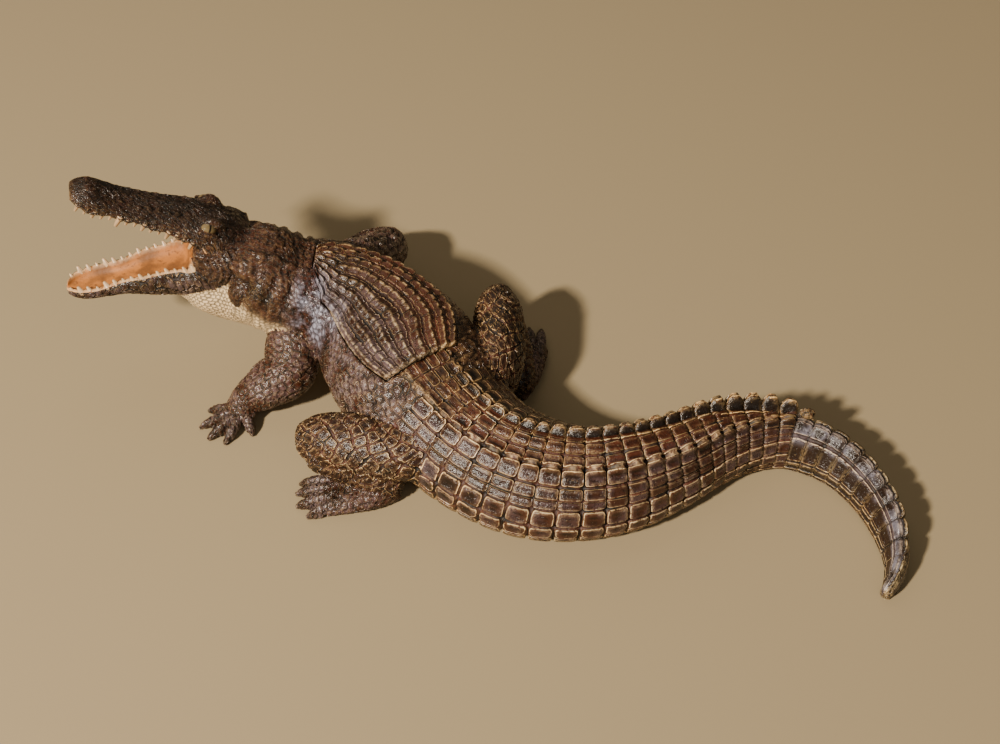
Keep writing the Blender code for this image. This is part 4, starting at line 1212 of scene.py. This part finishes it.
def age(thing, gilt):
    """Dark wash in the hollows of the skin and gold brushed on its ridges."""
    mesh = thing.data
    points, edges, corner = arrays(mesh)
    normals = read(mesh.vertices, "normal", 3)
    inward = ((neighbours_mean(points, edges) - points) * normals).sum(axis=1) / MM
    inward[points[:, 2] < ON_TABLE] = 0.0
    painted_sheen_and_wash, form = read_uv(mesh, "painted_sheen_and_wash"), read_uv(mesh, "form")
    painted_sheen_and_wash[:, 1] = smooth_step(0.03, 0.15, inward)[corner]
    worn = 0.2 + 0.5 * read_uv(mesh, "wear")[:, 0]
    form[:, 1] = np.maximum(form[:, 1], gilt * worn * smooth_step(0.12, 0.3, -inward)[corner])
    write_uv(mesh, "painted_sheen_and_wash", painted_sheen_and_wash)
    write_uv(mesh, "form", form)


def carve(thing, depth):
    """Push the skin in and out by the pattern of its scales."""
    mesh = thing.data
    points, _, corner = arrays(mesh)
    span = read_uv(mesh, "span") / SPAN_UNIT
    height = cell_profile(read_uv(mesh, "cells"), np.maximum(span, 0.3), read_uv(mesh, "form"))
    # Bare and small scales are carved less.
    height *= np.clip(0.45 + read_uv(mesh, "wear")[:, 0] * 0.75, 0.0, 1.2)
    height *= np.clip(np.minimum(span[:, 0], span[:, 1]) / 3.0, 0.25, 1.0)
    slot = of_corners(mesh, read(mesh.polygons, "material_index", kind=np.int32))
    height[slot != HIDE] = 0.0
    total = np.bincount(corner, height, len(points))
    height = total / np.maximum(np.bincount(corner, minlength=len(points)), 1)
    height[points[:, 2] < ON_TABLE] = 0.0
    points += read(mesh.vertices, "normal", 3) * (height * depth)[:, None]
    points[:, 2] = np.maximum(points[:, 2], 0.0)
    write_points(mesh, points)
    mesh.update()


# The back plate, and the cutters for its seat and for the hollow under it.

PLATE_START, PLATE_END = PLATE_EDGE[0][0], PLATE_EDGE[-1][0]
# Share of the turn round the plate that is its upper face.
PLATE_UPPER = 0.72
# Reach of the cutters above the trunk.
CUT_ABOVE = 6.0
DARK_INSIDE = (0.0, 0.1, 0.0, 0.9)
DARK_UNDER = (0.0, 0.1, 0.0, 0.8, 0.0, 0.0)


def plate_angles(s, spare):
    """Angles of the plate's near and far edge at s, made wider by the spare."""
    edge = straight(PLATE_EDGE, np.clip(s, PLATE_START, PLATE_END))
    return side_angle(s, edge[:, 0] + spare), side_angle(s, edge[:, 1] - spare)


def slab_place(start, end, spare, top, bottom, wide):
    """Placing function of a curved slab over the plate's field; wide is the share of its upper face."""
    def place(u, v):
        s = start + u * (end - start)
        near, far = plate_angles(s, spare)
        above = v < wide
        share = np.where(above, v / wide, (1.0 - v) / (1.0 - wide))
        angle = near + (far - near) * share
        return spine_point(s, angle, np.where(above, top(s, share), bottom))[0]
    return place


def plate_keels(ahead, share):
    """Ridge and place in its row of saw teeth on the plate's wavy keels, with the count of keels."""
    wave = KEEL_WAVE * np.sin(ahead * 24.0 + 9.0 * share) * np.sin(math.pi * share)
    phase = share * PLATE_KEELS + wave
    ridge = 1.0 - np.abs(2.0 * (phase - np.floor(phase)) - 1.0)
    row = ahead * PLATE_ROWS + 0.5 * np.floor(phase)
    return phase, ridge, row - np.floor(row)


def plate_top(s, share):
    """Height of the plate's keeled ridges over the trunk."""
    ahead = np.clip((s - PLATE_START) / (PLATE_END - PLATE_START), 0.0, 1.0)
    proud = PLATE_PROUD_FRONT + (PLATE_PROUD_REAR - PLATE_PROUD_FRONT) * ahead ** 0.6
    _, ridge, saw = plate_keels(ahead, share)
    saw = smooth_step(0.0, 0.5, saw) * smooth_step(1.0, 0.85, saw)
    edge = smooth_step(0.0, 0.03, share) * smooth_step(1.0, 0.97, share)
    keel = sizes().keel / MM * ridge ** 1.2 * (0.45 + 0.55 * saw)
    return (0.6 + 0.4 * edge) * proud + keel * edge


def plate_dress(u, v, face_u, face_v):
    """Cells and paint of the back plate."""
    under = face_v > PLATE_UPPER
    share = np.where(face_v < PLATE_UPPER, v / PLATE_UPPER, (1.0 - v) / (1.0 - PLATE_UPPER))
    phase, ridge, saw = plate_keels(u, share)
    cells = np.stack((u * PLATE_ROWS, phase), axis=1)
    rust = 0.2 + 0.7 * smooth_step(0.3, 0.9, share)
    # Painted sheen: a painted reflection of light over the plate's near front corner and, more faintly, its
    # near half.
    painted_sheen = 1.3 * smooth_step(0.4, 0.0, share) * smooth_step(0.5, 0.05, u)
    painted_sheen = painted_sheen + 0.35 * smooth_step(0.75, 0.2, share)
    paint = columns(u, 0.42, rust, 0.0, 0.4, painted_sheen, 0.0)
    paint[under] = DARK_UNDER
    brush = smooth_step(0.72, 0.95, ridge) * (0.55 + 0.45 * smooth_step(0.2, 0.8, saw)) * 0.7
    rim = np.maximum(smooth_step(0.03, 0.0, share), smooth_step(0.97, 1.0, share))
    rim = np.maximum(rim, smooth_step(0.975, 0.99, u))
    brush = np.maximum(brush, 0.7 * rim) * ~under
    return cells, columns(u, 7.5, 3.9), paint, columns(u, 0.5, brush), np.full_like(u, HIDE)


def plain_dress(u, v, face_u, face_v):
    """Plain dark inside of the hollow."""
    blank = columns(u, 0.0, 0.0)
    return blank + 0.5, blank + 4.0, columns(u, *DARK_INSIDE), blank, np.full_like(u, HIDE)


def flat_ended(name, along, around, place, dress):
    """A skin whose two ends are closed by flat faces."""
    thing = skin(name, along, around, place, dress, CRISP, closed=False)
    bm = bmesh.new()
    bm.from_mesh(thing.data)
    bmesh.ops.holes_fill(bm, edges=[edge for edge in bm.edges if edge.is_boundary], sides=0)
    split_large_faces(bm)
    face_outwards(bm)
    settle(bm, thing.data)
    return thing


def seat_cutter():
    """Cutter for the seat that the plate drops into."""
    start, end = PLATE_START - PLATE_GAP, PLATE_END + PLATE_GAP
    place = slab_place(start, end, PLATE_GAP, lambda s, share: CUT_ABOVE, -(PLATE_SUNK + FIT_GAP), 0.5)
    return flat_ended("cut_seat", 60, 80, place, plain_dress)


def hollow_cutter():
    """Cutter for the hollow trunk, narrower where it passes the ledge under the plate."""
    start, end = PLATE_START + LEDGE + 1.0, PLATE_END - LEDGE
    lid_share = 0.25

    def place(u, v):
        s = start + u * (end - start)
        near, far = plate_angles(s, -LEDGE)
        upper = v <= lid_share
        lid = near + (far - near) * v / lid_share
        belly = far - (2.0 * math.pi + far - near) * (v - lid_share) / (1.0 - lid_share)
        belly = (belly + math.pi) % (2.0 * math.pi) - math.pi
        return spine_point(s, np.where(upper, lid, belly), np.where(upper, CUT_ABOVE, -WALL))[0]

    return flat_ended("cut_hollow", 40, 72, place, plain_dress)


# Materials.


def node(tree, kind, values=(), **settings):
    """Add a node, set its settings and its inputs; an input may be a socket to link."""
    made = tree.nodes.new(kind)
    for key, value in settings.items():
        setattr(made, key, value)
    for slot, value in dict(values).items():
        if isinstance(value, bpy.types.NodeSocket):
            tree.links.new(value, made.inputs[slot])
        else:
            made.inputs[slot].default_value = value
    return made


def maths(tree, operation, a, b=0.0, c=0.0, clamp=False):
    """A Math node's result."""
    return node(tree, "ShaderNodeMath", {0: a, 1: b, 2: c}, operation=operation, use_clamp=clamp).outputs[0]


def times(tree, a, b, clamp=False):
    """Product of two values."""
    return maths(tree, "MULTIPLY", a, b, clamp=clamp)


def scaled(tree, value, factor, start):
    """Value times the factor plus the start."""
    return maths(tree, "MULTIPLY_ADD", value, factor, start)


def band(tree, value, low, high):
    """Smooth step of a value from 0 at low to 1 at high."""
    inputs = {0: value, 1: low, 2: high, 3: 0.0, 4: 1.0}
    return node(tree, "ShaderNodeMapRange", inputs, interpolation_type="SMOOTHSTEP").outputs[0]


def less(tree, value, low, high):
    """Smooth step of a value from 1 at low to 0 at high."""
    return maths(tree, "SUBTRACT", 1.0, band(tree, value, low, high))


def apart(tree, vector):
    """The separate values of a vector."""
    return node(tree, "ShaderNodeSeparateXYZ", {0: vector}).outputs


def pair(tree, layer):
    """The two values stored in a layer of the mesh."""
    return apart(tree, node(tree, "ShaderNodeUVMap", (), uv_map=layer).outputs[0])[:2]


def noise(tree, scale, detail, roughness=0.5):
    """Noise over the object, by its scale per metre."""
    place = node(tree, "ShaderNodeTexCoord").outputs["Object"]
    inputs = {"Vector": place, "Scale": scale, "Detail": detail, "Roughness": roughness}
    return node(tree, "ShaderNodeTexNoise", inputs).outputs[0]


def shade(colour, factor):
    """The colour made darker or lighter."""
    return [min(1.0, part * factor) for part in colour]


def blend(tree, factor, a, b):
    """Two colours mixed by a factor."""
    made = node(tree, "ShaderNodeMix", (), data_type="RGBA")
    for slot, value in (("Factor", factor), ("A", a), ("B", b)):
        socket = [s for s in made.inputs if s.name == slot and s.enabled][0]
        if isinstance(value, bpy.types.NodeSocket):
            tree.links.new(value, socket)
        else:
            socket.default_value = value if slot == "Factor" else (*value, 1.0)
    return [s for s in made.outputs if s.enabled][0]


def bump(tree, shader, strength, distance, height):
    """Bump of the shader's normal by a height."""
    made = node(tree, "ShaderNodeBump", {"Strength": strength, "Distance": distance, "Height": height})
    tree.links.new(made.outputs[0], shader.inputs["Normal"])


def scale_group():
    """Node group: grooves, rims, middles and height of the scales from their cell coordinates."""
    group = bpy.data.node_groups.new("scale_pattern", "ShaderNodeTree")
    for name, kind in (("Cells", "Vector"), ("Span", "Vector"), ("Stagger", "Float"), ("Rough Edge", "Float")):
        group.interface.new_socket(name, in_out="INPUT", socket_type="NodeSocket" + kind)
    for name in ("Groove", "Rim", "Middle", "Chance", "Height"):
        group.interface.new_socket(name, in_out="OUTPUT", socket_type="NodeSocketFloat")
    given = group.nodes.new("NodeGroupInput").outputs
    # Broken outlines: the coordinates are moved about by a little noise.
    cloud = node(group, "ShaderNodeTexNoise", {"Vector": given["Cells"], "Scale": 2.2, "Detail": 2.0})

    def vectors(operation, inputs):
        return node(group, "ShaderNodeVectorMath", inputs, operation=operation).outputs[0]

    wobble = vectors("SUBTRACT", {0: cloud.outputs["Color"], 1: (0.5, 0.5, 0.5)})
    wobble = vectors("SCALE", {0: wobble, "Scale": given["Rough Edge"]})
    moved = apart(group, vectors("ADD", {0: given["Cells"], 1: wobble}))
    # Every second row is shifted by the stagger.
    odd = maths(group, "FLOORED_MODULO", maths(group, "FLOOR", moved[1]), 2.0)
    shift = maths(group, "MULTIPLY_ADD", odd, given["Stagger"], moved[0])
    span = apart(group, given["Span"])
    reach = []
    for place, size in ((shift, span[0]), (moved[1], span[1])):
        share = maths(group, "FRACT", place)
        near = maths(group, "MINIMUM", share, maths(group, "SUBTRACT", 1.0, share))
        reach.append(times(group, near, size))
    small = maths(group, "MAXIMUM", maths(group, "MINIMUM", span[0], span[1]), 0.01)
    soft = times(group, small, CORNER)
    edge = maths(group, "SMOOTH_MIN", reach[0], reach[1], soft)
    edge = maths(group, "DIVIDE", edge, times(group, small, 0.5))
    groove = less(group, edge, 0.1, 0.22)
    rim = times(group, band(group, edge, 0.17, 0.23), less(group, edge, 0.23, 0.32))
    middle = band(group, edge, 0.28, 0.44)
    cell = vectors("FLOOR", {0: node(group, "ShaderNodeCombineXYZ", {0: shift, 1: moved[1]}).outputs[0]})
    chance = node(group, "ShaderNodeTexWhiteNoise", {0: cell}).outputs["Value"]
    height = maths(group, "SUBTRACT", maths(group, "SUBTRACT", rim, groove), times(group, middle, 0.25))
    end = group.nodes.new("NodeGroupOutput")
    results = {"Groove": groove, "Rim": rim, "Middle": middle, "Chance": chance, "Height": height}
    for name, value in results.items():
        group.links.new(value, end.inputs[name])
    return group


def fresh_material(name, roughness, colour=None):
    """A new material with its tree and its Principled shader."""
    material = bpy.data.materials.new(name)
    material.use_nodes = True
    shader = material.node_tree.nodes["Principled BSDF"]
    shader.inputs["Roughness"].default_value = roughness
    if colour is not None:
        shader.inputs["Base Color"].default_value = (*colour, 1.0)
    return material, material.node_tree, shader


def hide_material(name):
    """Antiqued paint over the scales: brown ground, rust in the grooves, gold on the rims, and a painted sheen
    that stands for reflected light.
    """
    paint = colours()
    material, tree, shader = fresh_material(name, 0.4)
    rim_share, rust_share = pair(tree, "wear")
    pale_share, dark_share = pair(tree, "tone")
    painted_sheen_share, wash = pair(tree, "painted_sheen_and_wash")
    stagger, brushed = pair(tree, "form")
    pattern = bpy.data.node_groups.get("scale_pattern") or scale_group()
    scales = node(tree, "ShaderNodeGroup", (), node_tree=pattern)
    # Less worn skin has the more broken outlines.
    for slot, value in (
        ("Cells", node(tree, "ShaderNodeUVMap", (), uv_map="cells").outputs[0]),
        ("Span", node(tree, "ShaderNodeUVMap", (), uv_map="span").outputs[0]),
        ("Stagger", stagger),
        ("Rough Edge", scaled(tree, rim_share, -0.42, 0.54)),
    ):
        tree.links.new(value, scales.inputs[slot])
    groove, middle = scales.outputs["Groove"], scales.outputs["Middle"]
    patches, fine, broad = noise(tree, 170.0, 4.0), noise(tree, 900.0, 4.0, 0.65), noise(tree, 40.0, 2.0)
    place = node(tree, "ShaderNodeTexCoord").outputs["Object"]
    pits = node(tree, "ShaderNodeTexVoronoi", {"Vector": place, "Scale": 1100.0}).outputs[0]
    # Ground coat, darker in the middle of the scales, and a painted grey-blue sheen over it, a painted
    # reflection of light.
    colour = blend(tree, band(tree, patches, 0.38, 0.68), shade(paint.brown, 0.35), shade(paint.brown, 1.5))
    colour = blend(tree, times(tree, rust_share, band(tree, broad, 0.3, 0.6)), colour, paint.rust)
    colour = blend(tree, times(tree, dark_share, scaled(tree, middle, 0.6, 0.4)), colour, paint.dark)
    painted_sheen_veil = times(tree, painted_sheen_share, band(tree, patches, 0.42, 0.62))
    colour = blend(tree, times(tree, painted_sheen_veil, 0.55, clamp=True), colour, paint.painted_sheen)
    # Dark wash in the grooves, reddened where the rust lies and kept lighter under the painted sheen.
    reddish = times(tree, rust_share, band(tree, patches, 0.34, 0.6))
    deep = blend(tree, reddish, shade(paint.dark, 0.35), paint.rust)
    colour = blend(tree, times(tree, groove, scaled(tree, painted_sheen_share, -0.28, 0.95)), colour, deep)
    hollow = times(tree, wash, scaled(tree, reddish, -0.5, 0.95))
    colour = blend(tree, hollow, colour, shade(paint.dark, 0.3))
    speck = times(tree, less(tree, pits, 0.18, 0.34), band(tree, patches, 0.4, 0.6))
    colour = blend(tree, times(tree, speck, 0.6), colour, shade(paint.dark, 0.5))
    # Gold dry-brushed over rims and ridges, whiter in broad patches, and turned into a pale lilac painted
    # highlight where the painted sheen lies.
    whitened = [min(1.0, part * factor) for part, factor in zip(paint.gold, (1.0, 1.2, 1.5))]
    gold = blend(tree, band(tree, broad, 0.35, 0.7), paint.gold, whitened)
    gold = blend(tree, times(tree, painted_sheen_share, 0.55, clamp=True), gold, shade(paint.painted_sheen, 1.7))
    brush = times(tree, times(tree, scales.outputs["Rim"], rim_share), band(tree, fine, 0.34, 0.52))
    brush = times(tree, brush, scaled(tree, scales.outputs["Chance"], 0.7, 0.65), clamp=True)
    ridges = times(tree, brushed, band(tree, fine, 0.38, 0.58))
    ridges = times(tree, ridges, scaled(tree, band(tree, patches, 0.4, 0.62), 0.7, 0.3))
    brush = times(tree, maths(tree, "MAXIMUM", brush, ridges), scaled(tree, wash, -0.8, 1.0))
    dust = times(tree, band(tree, fine, 0.64, 0.74), times(tree, rim_share, 0.25))
    colour = blend(tree, maths(tree, "MAXIMUM", brush, dust), colour, gold)
    # Cream of the throat and the underside.
    cream = blend(tree, groove, paint.cream, shade(paint.cream, 0.35))
    cream = blend(tree, times(tree, wash, 0.7), cream, shade(paint.cream, 0.2))
    tree.links.new(blend(tree, pale_share, colour, cream), shader.inputs["Base Color"])
    gloss = scaled(tree, fine, 0.3, scaled(tree, painted_sheen_share, -0.03, 0.1))
    tree.links.new(scaled(tree, groove, 0.3, gloss), shader.inputs["Roughness"])
    height = scaled(tree, scales.outputs["Height"], 0.8, times(tree, fine, 0.8))
    bump(tree, shader, 0.8, 0.0005, scaled(tree, speck, -0.35, height))
    return material


def lining_material():
    """Orange lining of the mouth, paler at the gums."""
    paint = colours()
    material, tree, shader = fresh_material("mouth_lining", 0.62)
    patches, fine = noise(tree, 150.0, 4.0), noise(tree, 900.0, 3.0)
    colour = blend(tree, band(tree, patches, 0.4, 0.64), paint.mouth, shade(paint.mouth, 0.42))
    colour = blend(tree, band(tree, fine, 0.56, 0.7), colour, shade(paint.mouth, 0.5))
    gum = times(tree, pair(tree, "tone")[0], band(tree, fine, 0.3, 0.5))
    colour = blend(tree, times(tree, gum, 0.42), colour, paint.cream)
    tree.links.new(colour, shader.inputs["Base Color"])
    bump(tree, shader, 0.4, 0.0003, fine)
    return material


def eye_material():
    """Glazed eye with an upright slit, drawn in the eye's own cell coordinates."""
    material, tree, shader = fresh_material("eye_glaze", 0.12)
    away = maths(tree, "SUBTRACT", pair(tree, "cells")[0], LUMP_MIDDLE)
    slit = less(tree, maths(tree, "ABSOLUTE", away), 0.12, 0.3)
    colour = blend(tree, slit, (0.17, 0.12, 0.055), (0.008, 0.006, 0.004))
    tree.links.new(colour, shader.inputs["Base Color"])
    return material


# Operators.


def finish_piece(thing, name, nodes, materials):
    """Name the piece, give it its materials and put it in the place of its nodes."""
    thing.name = name
    thing.data.name = name
    for slot_index, material in enumerate(materials):
        thing.data.materials[slot_index] = material
    while len(thing.data.materials) > len(materials):
        thing.data.materials.pop(index=len(materials))
    bm = bmesh.new()
    bm.from_mesh(thing.data)
    split_large_faces(bm)
    settle(bm, thing.data)
    thing.data.polygons.foreach_set("use_smooth", np.ones(len(thing.data.polygons), bool))
    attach(thing, "root")
    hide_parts(*nodes)
    count = sum(len(face.vertices) - 2 for face in thing.data.polygons)
    print(f"PIECE {name} {count} triangles")
    if count >= MOST_TRIANGLES:
        raise RuntimeError(f"{name} has {count} triangles")


def head_lumps():
    """Jowls, bulges and fold of the throat, brows, lids and nostrils."""
    made = []
    level, tilted = jaw_axes(0.0), jaw_axes(UPPER_PITCH)
    for sign in (1.0, -1.0):
        place = jaw_point(0.0, JOWL_PLACE[0], sign * JOWL_PLACE[1], JOWL_PLACE[2])
        made.append(lump("jowl", place, JOWL_RADII, level, (0.34, 0.4, 0.0, 0.6), 5, 1.5, JOWL_ARCS))
        across = BULGE_PLACE[1] if sign > 0.0 else -FAR_BULGE
        place = jaw_point(0.0, BULGE_PLACE[0], across, BULGE_PLACE[2])
        made.append(lump("bulge", place, BULGE_RADII, level, (0.4, 0.5, 0.0, 0.4), 4, 1.3))
    place = jaw_point(0.0, *THROAT_FOLD[0])
    made.append(lump("throat_fold", place, THROAT_FOLD[1], level, (0.45, 0.4, 0.0, 0.35), 4, 1.3))
    brow = (1.65 * BROW_RADIUS, 0.8 * BROW_RADIUS, 0.72 * BROW_RADIUS)
    nostril = (NOSTRIL_RADIUS, NOSTRIL_RADIUS, 0.8 * NOSTRIL_RADIUS)
    for sign in (1.0, -1.0):
        for name, (ahead, across, high), radii, paint, member in (
            ("brow", BROW_PLACE, brow, (0.3, 0.3, 0.0, 0.6), SOFT_LUMP),
            ("lid", LID_PLACE, LID_RADII, (0.4, 0.3, 0.0, 0.4), CRISP),
            ("nostril", NOSTRIL_PLACE, nostril, (0.35, 0.4, 0.0, 0.5), SOFT_LUMP),
        ):
            place = jaw_point(UPPER_PITCH, ahead, sign * across, high)
            made.append(lump(name, place, radii, tilted, paint, member=member))
    return made


def knob():
    """Golden knob at the end of the far crest."""
    place = spine_point(np.array([KNOB[0]]), np.array([0.0]), KNOB[1])[0][0]
    made = lump("knob", place, KNOB[2], np.eye(3), (0.6, 0.4, 0.0, 0.1))
    write_uv(made.data, "form", np.tile((0.5, 0.8), (len(made.data.loops), 1)))
    return made


def eyes():
    """Both eyes."""
    ahead, across, high = EYE_PLACE
    radii = tuple(share * EYE_RADIUS for share in EYE_SHARES)
    places = [jaw_point(UPPER_PITCH, ahead, sign * across, high) for sign in (1.0, -1.0)]
    return [lump("eye", place, radii, jaw_axes(UPPER_PITCH), BARE, slot=EYE) for place in places]


class CROCODILE_OT_body(bpy.types.Operator):
    """Build the body casting with its scales, crests, jaws, teeth and limbs"""

    bl_idname = "crocodile.body"
    bl_label = "Body"

    def execute(self, context):
        body = skin("body", SPINE_ROWS, COLUMNS, spine_place, spine_dress, 0)
        parts = [
            skin("upper_jaw", 78, 66, upper_place, upper_dress, 1),
            skin("lower_jaw", 74, 70, lower_place, lower_dress, 2),
            skin("cheek", 30, 60, cheek_place, cheek_dress, 3),
        ]
        parts += [limb(*row, member) for member, row in enumerate(LIMBS, len(parts) + 1)]
        parts += head_lumps()
        parts += [digit(f"digit_{k}", row) for k, row in enumerate(DIGITS)]
        parts.append(knob())
        combine(body, parts, "UNION")
        soften(body, sizes().fillet, 16)
        place = jaw_point(MOUTH_PITCH, CHEEK[-1][0] + 1.0, 0.0, -0.6)
        gullet = lump("cut_gullet", place, GULLET, jaw_axes(MOUTH_PITCH), BARE, slot=LINING)
        combine(body, [gullet], "DIFFERENCE")
        carve(body, sizes().scute)
        age(body, 0.3)
        combine(body, teeth() + eyes(), "UNION")
        combine(body, [seat_cutter()], "DIFFERENCE")
        combine(body, [hollow_cutter()], "DIFFERENCE")
        ivory = fresh_material("ivory", 0.35, IVORY_COLOUR)[0]
        materials = (hide_material("antiqued_hide"), lining_material(), ivory, eye_material())
        finish_piece(body, "body_casting", ["crocodile_body"], materials)
        return {"FINISHED"}


class CROCODILE_OT_plate(bpy.types.Operator):
    """Build the loose back plate with its keeled ridges"""

    bl_idname = "crocodile.plate"
    bl_label = "Back plate"

    def execute(self, context):
        place = slab_place(PLATE_START, PLATE_END, 0.0, plate_top, -PLATE_SUNK, PLATE_UPPER)
        plate = flat_ended("plate", 150, 200, place, plate_dress)
        age(plate, 0.5)
        finish_piece(plate, "loose_plate", ["back_plate"], (hide_material("antiqued_plate"),))
        return {"FINISHED"}


class CROCODILE_OT_stage(bpy.types.Operator):
    """Lay the floor, set the lights and the camera"""

    bl_idname = "crocodile.stage"
    bl_label = "Stage"

    def execute(self, context):
        bm = bmesh.new()
        bmesh.ops.create_grid(bm, x_segments=1, y_segments=1, size=3.0)
        floor = put("floor", settle(bm, bpy.data.meshes.new("floor")))
        floor.location.z = -0.0001
        floor.data.materials.append(fresh_material("paper", 0.9, colours().floor)[0])
        target = Vector((SHIFT_X * MM, SHIFT_Y * MM, 0.0))
        for name, place, size, power, colour in LIGHTS:
            light = bpy.data.lights.new(name, "AREA")
            light.size = size
            light.energy = power
            light.color = colour
            lamp = put(name, light)
            lamp.location = target + Vector(place)
            lamp.rotation_euler = (-Vector(place)).to_track_quat("-Z", "Y").to_euler()
        world = bpy.data.worlds.new("room")
        world.use_nodes = True
        background = world.node_tree.nodes["Background"]
        background.inputs["Color"].default_value = (*ROOM_COLOUR, 1.0)
        background.inputs["Strength"].default_value = ROOM_STRENGTH
        context.scene.world = world
        camera = put("camera", bpy.data.cameras.new("camera"))
        camera.data.lens = LENS
        camera.data.sensor_width = SENSOR
        camera.data.clip_start = 0.01
        height = math.radians(CAMERA_ELEVATION)
        away = Vector((0.0, -math.cos(height), math.sin(height))) * CAMERA_DISTANCE
        camera.location = target + away
        camera.rotation_euler = (-away).to_track_quat("-Z", "Y").to_euler()
        context.scene.camera = camera
        return {"FINISHED"}


class CROCODILE_PT_panel(bpy.types.Panel):
    """Sizes, colours and the operators in the sidebar"""

    bl_label = "Crocodile"
    bl_idname = "CROCODILE_PT_panel"
    bl_space_type = "VIEW_3D"
    bl_region_type = "UI"
    bl_category = "Crocodile"

    def draw(self, context):
        for group in (context.scene.crocodile_sizes, context.scene.crocodile_colours):
            for key in group.__annotations__:
                self.layout.prop(group, key)
        for operator in (CROCODILE_OT_body, CROCODILE_OT_plate, CROCODILE_OT_stage):
            self.layout.operator(operator.bl_idname)


CLASSES = (
    CrocodileSizes,
    CrocodileColours,
    CROCODILE_OT_body,
    CROCODILE_OT_plate,
    CROCODILE_OT_stage,
    CROCODILE_PT_panel,
)


def register():
    for kind in CLASSES:
        bpy.utils.register_class(kind)
    bpy.types.Scene.crocodile_sizes = bpy.props.PointerProperty(type=CrocodileSizes)
    bpy.types.Scene.crocodile_colours = bpy.props.PointerProperty(type=CrocodileColours)


def unregister():
    del bpy.types.Scene.crocodile_colours
    del bpy.types.Scene.crocodile_sizes
    for kind in reversed(CLASSES):
        bpy.utils.unregister_class(kind)


def main():
    register()
    bpy.ops.crocodile.body()
    bpy.ops.crocodile.plate()
    bpy.ops.crocodile.stage()


if __name__ == "__main__":
    main()
